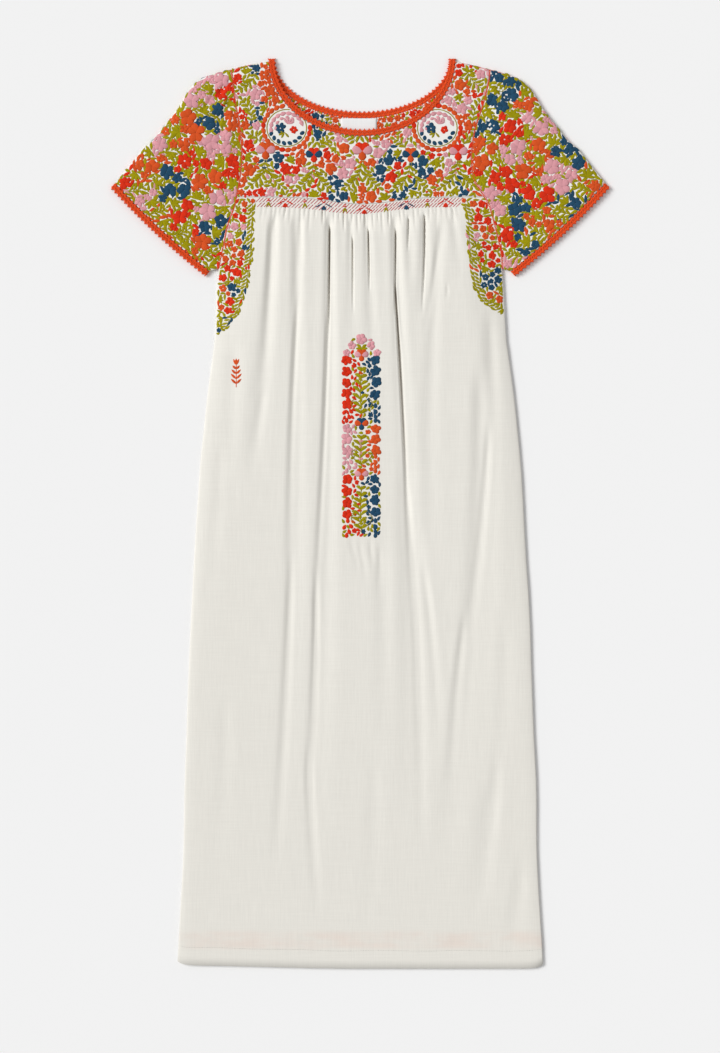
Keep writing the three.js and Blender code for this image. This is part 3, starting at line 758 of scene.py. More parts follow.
def stitched_ground():
    """The cotton of the yokes and sleeves, one material for both."""
    name, white = "cotton_stitched", srgb(238, 236, 231)
    return bpy.data.materials.get(name) or cotton_material(name, white, white, stitched=True)


def thread_material(name, pitch=1700.0):
    """Cotton embroidery thread: its colour from the stitches' own attribute, ridged along each stitch, with
    painted shade in the grooves between its threads.
    """
    material, w, shader = start_material(name, 0.75, 0.03, 0.4)
    shader.inputs["Specular IOR Level"].default_value = 0.10
    along = w.node("ShaderNodeUVMap", uv_map="Along").outputs[0]
    threads = w.node("ShaderNodeGroup", node_tree=shared("threads", strand_group))
    threads.inputs["Threads"].default_value = pitch
    w.link(along, threads.inputs["Vector"])
    dyed = w.node("ShaderNodeAttribute", attribute_name="thread_colour").outputs["Color"]
    # Painted shade: the base colour is darker in the grooves between the threads and lighter on their ridges.
    depth = w.math("MULTIPLY_ADD", threads.outputs["Height"], 0.20, 0.84)
    add_colour(w, shader, dyed, w.math("MULTIPLY_ADD", threads.outputs["Tone"], 0.25, depth))
    add_bump(w, shader, threads.outputs["Height"], 0.00015, 0.8)
    return material


def label_material():
    """White satin ribbon: fine ribs across and a slight sheen."""
    material, w, shader = start_material("label_ribbon", 0.45, 0.1)
    along = w.node("ShaderNodeUVMap", uv_map="Along").outputs[0]
    weave = w.node("ShaderNodeGroup", node_tree=shared("weave", weave_group))
    weave.inputs["Threads"].default_value = 2600.0
    w.link(along, weave.inputs["Vector"])
    add_colour(w, shader, srgb(238, 238, 238), w.math("MULTIPLY_ADD", weave.outputs["Tone"], 0.08, 1.0))
    add_bump(w, shader, weave.outputs["Height"], 0.00008, 0.6)
    return material


def floor_material():
    """Matt pale card with the faintest mottling."""
    material, w, shader = start_material("pale_card", 0.95)
    place = w.node("ShaderNodeTexCoord").outputs["Object"]
    share = w.noise(place, 3.0, 2, 0.5)
    w.link(w.mix(share, (0.90, 0.90, 0.90), (0.905, 0.905, 0.905)), shader.inputs["Base Color"])
    return material


# ---------------------------------------------------------------- crochet

def strand(line, outward, radius, sides):
    """Tube round a closed line of points: circles across it, built from its tangent and an outward vector."""
    tangent = np.roll(line, -1, axis=0) - np.roll(line, 1, axis=0)
    tangent /= np.linalg.norm(tangent, axis=1)[:, None]
    lift = np.cross(tangent, outward)
    lift /= np.linalg.norm(lift, axis=1)[:, None]
    out = np.cross(lift, tangent)
    turn = np.linspace(0, 2 * math.pi, sides, endpoint=False)
    ring = radius * (np.cos(turn)[None, :, None] * out[:, None] + np.sin(turn)[None, :, None] * lift[:, None])
    points = line[:, None] + ring
    steps = np.linalg.norm(np.roll(line, -1, axis=0) - line, axis=1)
    reached = np.concatenate([[0], np.cumsum(steps)[:-1]])
    uv = np.stack([np.repeat(reached[:, None], sides, 1), np.tile(turn * radius, (len(line), 1))], axis=-1)
    return points, uv


def tube_quads(rings, sides, start, closed=True):
    """Quads between the rings of a tube, whose last ring meets the first where it is closed."""
    r, c = np.meshgrid(np.arange(rings if closed else rings - 1), np.arange(sides), indexing="ij")
    r, c = r.ravel(), c.ravel()
    here, ahead, side = r * sides, (r + 1) % rings * sides, (c + 1) % sides
    return np.column_stack([here + c, here + side, ahead + side, ahead + c]) + start


CROCHET_STEPS, CROCHET_SIDES = 14, 5
# Strands of the edging, in shares of its width: how far out each runs and swings, how far it curls along
# itself in millimetres and how often, its height, the start of its wave in half turns, and its radius.
STRAND_COLUMNS = [(key, float) for key in ("offset", "swing", "along", "rate", "height", "start", "thick")]
STRANDS = np.array([
    (0.38, 0.24, 1.3, 2, 0.0, 0, 0.80),
    (-0.38, 0.24, 1.3, 2, 0.0, 1, 0.80),
    (0.25, 0.03, 0.0, 1, 0.3, 0, 1.00),
    (-0.25, 0.03, 0.0, 1, 0.3, 1, 1.00),
    (0.0, 0.22, 0.6, 2, 0.1, 0, 0.75),
    (0.0, 0.22, 0.6, 2, 0.1, 1, 0.75),
], dtype=STRAND_COLUMNS)


def crochet(name, base, outward, wide, material, colour, pitch):
    """Crochet edging along a closed base line: strands that swing from side to side once a stitch.

    Each strand is the base moved outwards by a wave and along itself by a wave of twice the rate, so that
    it curls into loops: picots along each edge, a cord inside each, and two that cross between the cords
    and leave a hole in every stitch.
    """
    steps = np.linalg.norm(np.roll(base, -1, axis=0) - base, axis=1)
    whole = steps.sum()
    count = round(whole / pitch) * CROCHET_STEPS
    reached = np.concatenate([[0], np.cumsum(steps)])
    place = np.arange(count) / count * whole
    around = np.vstack([base, base[:1]])
    around_out = np.vstack([outward, outward[:1]])
    line = np.stack([np.interp(place, reached, around[:, k]) for k in range(3)], axis=-1)
    out = np.stack([np.interp(place, reached, around_out[:, k]) for k in range(3)], axis=-1)
    out /= np.linalg.norm(out, axis=1)[:, None]
    tangent = np.roll(line, -1, axis=0) - np.roll(line, 1, axis=0)
    tangent /= np.linalg.norm(tangent, axis=1)[:, None]
    up = np.cross(tangent, out)
    up *= np.where(up[:, 2:] < -0.2, -1, 1)
    points, uvs, quads = [], [], []
    start = 0
    for row in STRANDS:
        phase = np.arange(count) / CROCHET_STEPS * 2 * math.pi + row["start"] * math.pi
        path = line + out * (wide * (row["offset"] + row["swing"] * np.sin(phase)))[:, None]
        path = path + tangent * (row["along"] * np.sin(row["rate"] * phase))[:, None]
        path = path + up * (row["height"] * np.cos(phase))[:, None]
        ring, uv = strand(path, out, row["thick"], CROCHET_SIDES)
        points.append(ring.reshape(-1, 3))
        uvs.append(uv.reshape(-1, 2))
        quads.append(tube_quads(count, CROCHET_SIDES, start))
        start += count * CROCHET_SIDES
    return quad_piece(name, np.vstack(points), np.vstack(quads), material, np.vstack(uvs),
                      np.tile(colour, (start, 1)))


# ---------------------------------------------------------------- stitched patches

SHAPES = {
    # share of the half width at each share of the length
    "petal": lambda u: np.sin(np.pi * u ** 1.35) ** 0.5,
    "leaf": lambda u: np.sin(np.pi * u ** 0.9) ** 0.85,
    "blade": lambda u: np.sin(np.pi * u ** 1.55) ** 0.5,
    "drop": lambda u: np.sin(np.pi * u ** 0.62) ** 0.8,
    "round": lambda u: np.sqrt(np.clip(1 - (2 * u - 1) ** 2, 0, 1)),
    "bar": lambda u: np.clip(np.minimum(u, 1 - u) * 12, 0, 1) ** 0.5,
}
SHAPE_NAMES = list(SHAPES)
RINGS = {"fine": (0.07, 0.34, 0.66, 0.93), "coarse": (0.12, 0.52, 0.90)}
LEAF_SLANT = 0.9
SECTION = np.array([(-1, 0), (-0.62, 0.78), (0, 1), (0.62, 0.78), (1, 0), (0, -0.35)])


class Stitches:
    """Satin stitched patches, each with its start, direction, length, half width, bow, height and colour."""

    def __init__(self, seed):
        self.rows = []
        self.colours = []
        self.lay = []
        self.random = np.random.default_rng(seed)

    def patch(self, x, y, turn, long, wide, shape, colour, bow=0.0, high=0.8):
        """Adds a patch, its colour a little lighter or darker at random."""
        self.rows.append((x, y, turn, long, wide, SHAPE_NAMES.index(shape), bow, high))
        self.colours.append(np.array(colour) * self.random.uniform(0.9, 1.08))

    def mesh(self, name, material, height, sign=1, rings="fine"):
        """One mesh of all the patches.

        Along each patch the half width follows its shape, and the section is a low dome over a shallow
        belly, so that the patch is closed and its belly lies in the cloth. Height gives the cloth's surface,
        and sign is 1 on its upper side and -1 on its lower side.
        """
        rows = np.array(self.rows)
        count = len(rows)
        x, y, turn, long, wide, _, bow, high = (rows[:, k, None, None] for k in range(8))
        kind = rows[:, 5].astype(int)
        u = np.array(RINGS[rings])[:, None]
        v, h = SECTION.T
        n, s = len(u), len(SECTION)
        profile = np.array([SHAPES[key](u) for key in SHAPE_NAMES])[kind]
        along = long * u + 0 * v
        across = wide * profile * v + bow * 4 * u * (1 - u)
        tips = long[:, 0] * np.array([0.0, 1.0])

        def with_tips(body, ends):
            return np.concatenate([body.reshape(count, -1), ends], axis=1)

        px = with_tips(x + along * np.cos(turn) - across * np.sin(turn), x[:, 0] + tips * np.cos(turn[:, 0]))
        py = with_tips(y + along * np.sin(turn) + across * np.cos(turn), y[:, 0] + tips * np.sin(turn[:, 0]))
        pz = height(px, py) + sign * with_tips(high * h * profile ** 0.5, 0 * tips)
        points = np.stack([px, py, pz], axis=-1)

        first, last, base = n * s, n * s + 1, (n - 1) * s
        side = np.arange(s)
        after = (side + 1) % s
        quads = tube_quads(n, s, 0, closed=False)
        tris = np.vstack([np.column_stack([np.full(s, first), after, side]),
                          np.column_stack([np.full(s, last), base + side, base + after])])
        if sign > 0:
            quads, tris = quads[:, ::-1], tris[:, ::-1]
        shift = (np.arange(count) * (n * s + 2))[:, None, None]
        loops = with_tips(quads[None] + shift, (tris[None] + shift).reshape(count, -1))
        sizes = np.tile(np.repeat([4, 3], [len(quads), len(tris)]), count)

        leafy = np.isin(kind, [SHAPE_NAMES.index("leaf"), SHAPE_NAMES.index("blade")])[:, None, None]
        slant = leafy * LEAF_SLANT
        fanned = np.abs(wide * profile * v) * np.where(leafy, 0.6, 1) * np.where(leafy, 1, np.sign(v))
        seed = self.random.uniform(0, 40, (count, 1))
        uv = np.stack([with_tips(along, tips) + seed,
                       with_tips(fanned + slant * along, slant[:, 0] * tips) + seed], axis=-1)
        tint = np.repeat(np.clip(self.colours, 0, 1), n * s + 2, axis=0)
        return add_piece(name, points.reshape(-1, 3), loops.ravel(), sizes, material,
                         uv=uv.reshape(-1, 2), colour=tint)


class Ground:
    """Raster of the room that is left on a piece of cloth: the distance to its edge or the nearest patch."""

    def __init__(self, outline, margin, pitch=0.9):
        self.pitch = pitch
        low, high = outline.min(axis=0), outline.max(axis=0)
        self.low = low
        shape = np.ceil((high - low) / pitch).astype(int) + 1
        self.x = low[0] + pitch * np.arange(shape[0])
        self.y = low[1] + pitch * np.arange(shape[1])
        gx, gy = np.meshgrid(self.x, self.y, indexing="ij")
        inside = np.zeros(gx.shape, bool)
        for a, b in zip(outline, np.roll(outline, -1, axis=0)):
            crosses = (a[1] > gy) != (b[1] > gy)
            if a[1] != b[1]:
                at = a[0] + (gy - a[1]) / (b[1] - a[1]) * (b[0] - a[0])
                inside ^= crosses & (gx < at)
        edge = distance_to(np.vstack([outline, outline[:1]]), gx, gy)
        self.room = np.where(inside, edge - margin, -4 * edge - margin)

    def at(self, x, y):
        """Room at places, and none off the raster."""
        i = np.clip(np.rint((np.asarray(x) - self.low[0]) / self.pitch).astype(int), 0, len(self.x) - 1)
        j = np.clip(np.rint((np.asarray(y) - self.low[1]) / self.pitch).astype(int), 0, len(self.y) - 1)
        off = (np.abs(self.x[i] - x) > self.pitch) | (np.abs(self.y[j] - y) > self.pitch)
        return np.where(off, -9.0, self.room[i, j])

    def block(self, x, y, radius):
        """Takes the room of a round patch."""
        reach = radius + 12
        i0, i1 = np.searchsorted(self.x, (x - reach, x + reach))
        j0, j1 = np.searchsorted(self.y, (y - reach, y + reach))
        left = np.hypot(self.x[i0:i1, None] - x, self.y[None, j0:j1] - y) - radius
        self.room[i0:i1, j0:j1] = np.minimum(self.room[i0:i1, j0:j1], left)

    def pick(self, random, least, most):
        """A random place whose room lies between two limits, with that room, or nothing."""
        found = np.flatnonzero((self.room >= least) & (self.room <= most))
        if not len(found):
            return None
        i, j = np.unravel_index(random.choice(found), self.room.shape)
        return self.x[i], self.y[j], self.room[i, j]


def flower(st, ground, x, y, radius, colour, heart=None, turn=None, gap=0.3):
    """Rosette of five or six overlapping round petals of uneven length, some with a knot in the middle."""
    turn = st.random.uniform(0, 2 * math.pi) if turn is None else turn
    petals = int(st.random.choice((5, 5, 6)))
    for k in range(petals):
        angle = turn + 2 * math.pi * (k + st.random.uniform(-0.17, 0.17)) / petals
        reach = radius * st.random.uniform(0.84, 1.12)
        st.patch(x, y, angle, reach, radius * 2.4 / petals, "petal", colour,
                 high=st.random.uniform(0.82, 0.9))
    if heart is not None:
        size = max(0.75, radius * 0.13)
        st.patch(x - size, y, 0.0, 2 * size, size, "round", heart, high=1.3)
    if ground is not None:
        ground.block(x, y, radius * 0.96 + gap)


def leaf(st, ground, x, y, turn, long, wide, colour, bow=0.0, gap=0.3, slack=0.0):
    """One leaf, laid only where there is room for it; slack is how far it may tuck under its neighbours."""
    need = np.array([0.5 * wide, 0.7 * wide, 0.0]) - slack
    if np.any(ground.at(*away(x, y, turn, np.array([0.35, 0.65, 0.95]) * long)) < need):
        return False
    st.patch(x, y, turn, long, wide, "blade", colour, bow=bow, high=0.65)
    st.lay.append((x, y, turn, long, wide, bow, gap))
    return True


def settle(st, ground):
    """Marks the ground under the leaves laid since the last call, so that leaves of one fern may overlap."""
    for x, y, turn, long, wide, bow, gap in st.lay:
        for share, size in ((0.25, 0.6), (0.5, 0.95), (0.75, 0.85)):
            bend = bow * 4 * share * (1 - share)
            px, py = away(x, y, turn, share * long)
            ground.block(px - bend * math.sin(turn), py + bend * math.cos(turn), wide * size + gap)
    st.lay.clear()


def spray(st, ground, x, y, turn, long, colour, leaf_long, pairs, bow, wide, stem=0.5, gap=0.3, slack=0.4):
    """Fern: a bowed stem with leaves in pairs that lean towards its tip, longest in the middle."""
    count = max(4, int(long / 4))
    t = np.linspace(0, 1, count + 1)
    bend = bow * 4 * t * (1 - t)
    px = x + t * long * math.cos(turn) - bend * math.sin(turn)
    py = y + t * long * math.sin(turn) + bend * math.cos(turn)
    way = np.arctan2(np.diff(py), np.diff(px))
    reached = 0.0
    for share in (np.arange(pairs) + 0.55) / (pairs + 0.2):
        bx, by = np.interp(share, t, px), np.interp(share, t, py)
        heading = way[min(int(share * count), count - 1)]
        size = leaf_long * (0.75 + 0.4 * math.sin(math.pi * min(1, share + 0.1)))
        for side in (-1, 1):
            lean = st.random.uniform(0.75, 1.0)
            laid = leaf(st, ground, bx, by, heading + side * lean, size * st.random.uniform(0.88, 1.1),
                        wide * st.random.uniform(0.88, 1.1), colour, bow=-side * 0.13 * size, gap=gap,
                        slack=slack)
            reached = share if laid else reached
    if reached > 0.5:
        leaf(st, ground, px[-1], py[-1], way[-1], leaf_long * 0.85, wide, colour, gap=gap, slack=slack)
        reached = 1.0
    for k in range(int(math.ceil(reached * count))):
        step = math.hypot(px[k + 1] - px[k], py[k + 1] - py[k])
        st.patch(px[k], py[k], way[k], step * 1.15, stem, "bar", colour, high=0.75)
    settle(st, ground)


def fan(st, ground, x, y, turn, size, colour, leaves, gap=0.3, slack=0.5):
    """Tuft of leaves that spread from one foot, bowed outwards."""
    for k in range(leaves):
        lean = lerp(-1.35, 1.35, k / (leaves - 1)) + st.random.uniform(-0.08, 0.08)
        long = size * (1.05 - 0.22 * abs(lean)) * st.random.uniform(0.88, 1.1)
        leaf(st, ground, x, y, turn + lean, long, long * 0.23, colour, math.copysign(0.10 * long, -lean),
             gap, slack)
    settle(st, ground)


def pansy(st, ground, x, y, radius, upper, side, lip):
    """Pansy: two upper petals behind, two round ones beside each other in front, and a pointed lip."""
    turn = math.pi / 2
    for angle, wide, colour, high in ((0.5, 0.5, upper, 0.8), (1.2, 0.56, side, 1.1)):
        for sign in (1, -1):
            st.patch(x, y, turn + sign * angle, radius * 1.15, radius * wide, "petal", colour, high=high)
    st.patch(*away(x, y, turn, 0.15 * radius), turn + math.pi, radius * 1.05, radius * 0.46, "petal", lip,
             high=1.25)
    ground.block(x, y, radius * 0.95)
    for angle in (0.8, -0.8):
        ground.block(*away(x, y, turn + angle, 0.8 * radius), radius * 0.55)


FLOWER_KEYS = ("red", "orange", "pink", "blue")


class Clusters:
    """Patches of one colour: each place takes the colour of the nearest centre."""

    def __init__(self, centres, keys):
        self.centres = np.array(centres, float)
        self.keys = list(keys)

    def key(self, x, y):
        """Colour at a place."""
        return self.keys[int(np.argmin(np.hypot(self.centres[:, 0] - x, self.centres[:, 1] - y)))]


def spread_clusters(random, ground, apart, shares):
    """Centres at least a set way apart, each with a colour unlike its neighbours'."""
    gx, gy = np.nonzero(ground.room > 1)
    spots = np.column_stack([ground.x[gx], ground.y[gy]])
    centres = [spots[random.integers(len(spots))]]
    for _ in range(600):
        spot = spots[random.integers(len(spots))]
        if min(math.hypot(*(spot - c)) for c in centres) > apart:
            centres.append(spot)
    centres = np.array(centres)
    keys = []
    for k, spot in enumerate(centres):
        far = np.hypot(*(centres[:k] - spot).T)
        near = {keys[j] for j in np.argsort(far)[:3] if far[j] < apart * 1.8}
        w = np.array([0.05 * share if key in near else share for key, share in zip(FLOWER_KEYS, shares)])
        keys.append(FLOWER_KEYS[int(random.choice(4, p=w / w.sum()))])
    return Clusters(centres, keys)


def fill_ground(st, ground, threads, sizes, cluster, gap, leaf_size, fan_apart=0, heart=0.3, merge=0.1,
                shares=(), leaf_share=0.62, leaf_wide=2.1, least=0.8, clusters=None, tuck=0.3, fan_size=1.0):
    """Fills the room that is left: tufts of leaves, flowers in clusters of one colour, then single leaves.

    Flowers go from the largest size to the least, each where the room is only just enough, so that they
    nest. Then the widest room left takes a leaf or a petal, turned along the longest free way, until no
    room is wider than the least; its ends may tuck under its neighbours.
    """
    random = st.random
    green = threads["green"]
    clusters = clusters or spread_clusters(random, ground, cluster, shares)
    if fan_apart:
        feet = []
        for _ in range(500):
            found = ground.pick(random, leaf_size * fan_size * 0.45, 99)
            if found is None:
                break
            x, y, room = found
            if feet and min(math.hypot(x - a, y - b) for a, b in feet) < fan_apart:
                continue
            turn = random.uniform(0, 2 * math.pi)
            size = leaf_size * fan_size
            fan(st, ground, *away(x, y, turn, -0.45 * size), turn, size * random.uniform(0.9, 1.15), green,
                int(random.integers(5, 7)), gap)
            feet.append((x, y))
    for radius, count in sizes:
        for _ in range(count):
            found = ground.pick(random, radius * 0.97, radius * 1.25)
            if found is None:
                break
            x, y, room = found
            centre = threads["white"] if random.random() < heart else None
            flower(st, ground, x, y, min(room, radius * 1.15), threads[clusters.key(x, y)], centre, gap=merge)
    ways = np.linspace(0, 2 * math.pi, 12, endpoint=False)
    paces = np.arange(1, 7)[:, None] * leaf_size / 9
    for _ in range(2500):
        widest = ground.room.max()
        if widest < least:
            break
        x, y, room = ground.pick(random, max(least, widest * 0.75), 99)
        free = ground.at(x + paces * np.cos(ways), y + paces * np.sin(ways)) > -tuck
        reach = free.cumprod(axis=0).sum(axis=0) * leaf_size / 9
        both = reach + np.roll(reach, 6)
        best = int(np.argmax(both + random.uniform(0, 1.5, 12)))
        back, ahead = reach[(best + 6) % 12], reach[best]
        wide = min(room + 0.6, leaf_wide)
        long = min(back + ahead + 0.6, leaf_size * 1.15)
        back = min(back + 0.3, long * 0.6)
        if long < 2.3 * wide:
            st.patch(x - wide, y, 0.0, 2 * wide, wide, "round", threads[clusters.key(x, y)], high=0.7)
            ground.block(x, y, wide + gap)
            continue
        leafy = random.random() < leaf_share
        colour = green if leafy else threads[clusters.key(x, y)]
        turn = ways[best]
        foot = away(x, y, turn, -back)
        bow = random.uniform(-0.1, 0.1) * long
        st.patch(*foot, turn, long, wide, "blade" if leafy else "petal", colour, bow=bow,
                 high=0.55 if leafy else 0.7)
        st.lay.append((*foot, turn, long, wide, bow, gap * 0.8))
        settle(st, ground)


# ---------------------------------------------------------------- settings

class DressColours(PropertyGroup):
    cotton: FloatVectorProperty(name="Cotton", description="Unbleached cotton of the skirt", size=3,
                                default=srgb(232, 229, 221), subtype="COLOR")
    cotton_low: FloatVectorProperty(name="Cotton low down", description="Warmer cotton towards the hem",
                                    size=3, default=srgb(229, 226, 218), subtype="COLOR")
    red: FloatVectorProperty(name="Red thread", description="Scarlet flowers", size=3,
                             default=srgb(222, 50, 22), subtype="COLOR")
    orange: FloatVectorProperty(name="Orange thread", description="Burnt orange flowers", size=3,
                                default=srgb(220, 86, 36), subtype="COLOR")
    pink: FloatVectorProperty(name="Pink thread", description="Soft pink flowers", size=3,
                              default=srgb(226, 160, 168), subtype="COLOR")
    blue: FloatVectorProperty(name="Blue thread", description="Petrol blue flowers", size=3,
                              default=srgb(36, 76, 104), subtype="COLOR")
    green: FloatVectorProperty(name="Green thread", description="Olive green leaves", size=3,
                               default=srgb(162, 152, 6), subtype="COLOR")
    edging: FloatVectorProperty(name="Crochet thread", description="Orange crochet edgings", size=3,
                                default=srgb(236, 84, 38), subtype="COLOR")


class DressSizes(PropertyGroup):
    shell: FloatProperty(name="Cloth", description="Thickness of the cloth shells", default=0.0008,
                         min=0.0003, max=0.002, unit="LENGTH")
    picot_pitch: FloatProperty(name="Picot pitch", description="Length of edging to each picot",
                               default=0.0068, min=0.003, max=0.01, unit="LENGTH")
    seed: IntProperty(name="Seed", description="Start of the random filling of the flower ground",
                      default=7, min=0)


def settings():
    """The scene's sizes and colours."""
    return bpy.context.scene.dress_sizes, bpy.context.scene.dress_colours


# ---------------------------------------------------------------- operators

class DRESS_OT_skirt(Operator):
    """Front and back skirt panels, gathered under the yoke"""
    bl_idname = "dress.skirt"
    bl_label = "Skirt panels"

    def execute(self, context):
        sizes, colours = settings()
        shell = sizes.shell / MM
        cotton = cotton_material("cotton_front", tuple(colours.cotton), tuple(colours.cotton_low), hem=True)
        x, y = skirt_plan(146, 296, 2.2)
        top = upper_top(x, y)
        front = wall("front_skirt_cloth", x, y, top, top - shell, cotton)
        # Painted shade for the closed slits: how far the cotton turns dark in each, from the depth of the
        # narrow folds there.
        slit = front.data.attributes.new("slit", "FLOAT", "POINT")
        narrow = FINE_FOLDS[FINE_FOLDS["wide"] < SLIT_WIDE]
        closed = smooth((fold_depths(narrow, x, y) - 1.0) / SLIT_DEPTH) * SLIT_PAINTED_SHADE
        slit.data.foreach_set("value", np.tile(closed.ravel(), 2).astype(np.float32))
        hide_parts("front_skirt")

        x, y = skirt_plan(100, 170, 2)
        low = LOWER_TOP - shell + back_ripple(x, y)
        back = wall("back_skirt_cloth", x, y, low + shell, low, cotton)
        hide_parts("back_skirt")
        return {"FINISHED"}


class DRESS_OT_yoke(Operator):
    """Front and back yokes"""
    bl_idname = "dress.yoke"
    bl_label = "Yokes"

    def execute(self, context):
        shell = settings()[0].shell / MM
        ground = stitched_ground()
        x, y = yoke_plan(NECK_FRONT, 60)
        top = upper_top(x, y)
        front = wall("front_yoke_cloth", x, y, top, top - shell, ground)
        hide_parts("front_yoke")
        x, y = yoke_plan(NECK_BACK, 60)
        back = wall("back_yoke_cloth", x, y, np.full(x.shape, LOWER_TOP),
                    np.full(x.shape, LOWER_TOP - shell), ground)
        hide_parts("back_yoke")
        return {"FINISHED"}


def sleeve_piece(side, shell, ground):
    """Sleeve as a flattened tube: an outside and an inside loop at each step from armhole to cuff."""
    edges = sleeve_edges(side)
    rows, across = 52, 64
    s = np.linspace(0, 1, across)
    s = lerp(s, smooth(s), 0.6)
    t = np.linspace(0, 1, rows)
    ss, tt = np.meshgrid(s, t)
    plan = sleeve_at(edges, ss, tt)
    x, y = np.moveaxis(plan, -1, 0)
    top = upper_top(x, y)
    wide = np.hypot(x[:, 0] - x[:, -1], y[:, 0] - y[:, -1])[:, None]
    inner_s = np.clip(ss, 1.6 / wide, 1 - 1.6 / wide)
    inner_plan = sleeve_at(edges, inner_s, tt)
    inner_top = upper_top(*np.moveaxis(inner_plan, -1, 0))

    def loop(flat, upper, lower):
        over, under = (np.dstack([flat, np.broadcast_to(height, x.shape)]) for height in (upper, lower))
        return np.concatenate([over, under[:, ::-1]], axis=1)

    outside = loop(plan, top, LOWER_TOP - shell)
    inside = loop(inner_plan, inner_top - shell, LOWER_TOP)
    piece = tube_piece(f"sleeve_{side}_cloth", outside, inside, ground, flip=side == "right")
    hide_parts(f"sleeve_{side}")


class DRESS_OT_sleeves(Operator):
    """Two short sleeves, flattened tubes"""
    bl_idname = "dress.sleeves"
    bl_label = "Sleeves"

    def execute(self, context):
        shell = settings()[0].shell / MM
        ground = stitched_ground()
        for side in SIGN:
            sleeve_piece(side, shell, ground)
        return {"FINISHED"}


class DRESS_OT_edgings(Operator):
    """Crochet edgings round the neck and both cuffs"""
    bl_idname = "dress.edgings"
    bl_label = "Crochet edgings"

    def execute(self, context):
        sizes, colours = settings()
        material = thread_material("crochet_cotton", 900.0)
        pitch = sizes.picot_pitch / MM
        turns = np.linspace(NECK_TIP, math.pi - NECK_TIP, 160)
        out = np.stack([-np.cos(turns), -np.sin(turns), 0 * turns], axis=-1)
        front = neck_point(NECK_FRONT, 0, turns)
        top = upper_top(front[:, 0], front[:, 1]) + 0.7
        back = neck_point(NECK_BACK, 0, turns)[::-1]
        base = np.vstack([
            np.column_stack([front, top]),
            [[NECK_X + NECK_HALF, NECK_Y + 0.6, 2.0]],
            np.column_stack([back, np.full(len(back), 1.0)]),
            [[NECK_X - NECK_HALF, NECK_Y + 0.6, 2.0]],
        ])
        outward = np.vstack([out, [[1, 0, 0]], out[::-1], [[-1, 0, 0]]])
        neck = crochet("neck_crochet", base, outward, EDGING_WIDE, material, tuple(colours.edging), pitch)
        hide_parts("neck_edging")
        for side in SIGN:
            edges = sleeve_edges(side)
            line = (edges["edging_start"] + edges["cuff"]) / 2
            z = upper_top(line[:, 0], line[:, 1]) + 0.6
            base = np.vstack([
                np.column_stack([line, z]),
                np.column_stack([line[::-1], np.full(len(line), 1.0)]),
            ])
            outward = np.tile([*edges["out"], 0], (len(base), 1))
            cuff = crochet(f"cuff_crochet_{side}", base, outward, EDGING_WIDE, material,
                           tuple(colours.edging), pitch)
            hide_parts(f"cuff_edging_{side}")
        return {"FINISHED"}


# ---------------------------------------------------------------- embroidery

def outline_of(x, y):
    """Edge of a grid of plan points as one closed outline."""
    plan = np.stack([x, y], axis=-1)
    return np.vstack([plan[0], plan[1:, -1], plan[-1, -2::-1], plan[-2:0:-1, 0]])


def thread_colours():
    """The threads' colours by name."""
    colours = settings()[1]
    table = {key: tuple(getattr(colours, key)) for key in (*FLOWER_KEYS, "green")}
    table["white"] = srgb(236, 232, 226)
    return table


def medallion(st, ground, x, threads):
    """Oval wreath: petals side by side round a thin green ring, with a small bouquet inside."""
    y, wide, high = 550.5, 29.5, 27.5
    outer, inner, drops = "orange", "pink", "blue"
    for k, turn in enumerate(np.linspace(0, 2 * math.pi, 25, endpoint=False)):
        place = away(x, y, turn, wide + 4.0, high + 4.0)
        if ground.at(*place) > 0.5:
            way = math.atan2(wide * math.cos(turn), -high * math.sin(turn)) + 0.25
            st.patch(*away(*place, way, -4.7), way, 9.4, 3.7, "round", threads[outer if k % 6 else "red"])
    ring = np.linspace(0, 2 * math.pi, 41)
    for a, b in zip(ring[:-1], ring[1:]):
        p, q = (away(x, y, turn, 0.96 * wide, 0.96 * high) for turn in (a, b))
        if ground.at(*p) > 0.3:
            st.patch(*p, math.atan2(q[1] - p[1], q[0] - p[0]), math.hypot(q[0] - p[0], q[1] - p[1]) * 1.15,
                     0.75, "bar", threads["green"])
    for turn in np.linspace(0.1, math.pi - 0.1, 9):
        place = away(x, y, turn, 0.8 * wide, 0.8 * high)
        if ground.at(*place) > 1:
            st.patch(*place, turn + 1.9, 9.5, 3.3, "blade", threads[inner])
    for turn in (0.75, 1.25, 1.8, 2.35, 2.9):
        st.patch(*away(x, y, turn, 0.5 * wide, 0.52 * high), turn + 1.5, 7.0, 2.4, "petal", threads[inner])
    for turn in np.linspace(math.pi + 0.35, 2 * math.pi - 0.35, 8):
        place = away(x, y, turn, 0.79 * wide, 0.79 * high)
        st.patch(*away(*place, turn + 0.9, -3.4), turn + 0.9, 7.6, 3.0, "round", threads[drops])
    flower(st, None, x - 0.3 * wide, y - 0.02 * high, 8.0, threads[drops], threads["white"], turn=0.3)
    flower(st, None, x + 0.34 * wide, y - 0.1 * high, 6.0, threads["red"], threads["white"], turn=0.9)
    for turn in (2.1, 1.5, 0.9, 0.35):
        st.patch(x + 0.04 * wide, y + 0.2 * high, turn, 10.5, 2.0, "blade", threads[inner])
    for turn in (3.0, 3.6, 4.2, 5.4):
        st.patch(x - 0.1 * wide, y - 0.22 * high, turn, 9.5, 1.7, "blade", threads["green"])
    ground.block(x, y, (wide + high) / 2 + 7.4)


# Pansies of the yoke, each over a fern that opens downwards.
PANSY_COLUMNS = [("x", float), ("y", float), ("size", float), ("upper", "U8"), ("side", "U8"), ("lip", "U8")]
YOKE_PANSIES = np.array([
    (-135, 517, 13.0, "orange", "pink", "orange"),
    (-66, 511, 11.0, "red", "blue", "red"),
    (3, 516, 13.5, "red", "pink", "orange"),
    (72, 511, 11.0, "orange", "blue", "orange"),
    (140, 515, 12.5, "red", "pink", "red"),
], dtype=PANSY_COLUMNS)


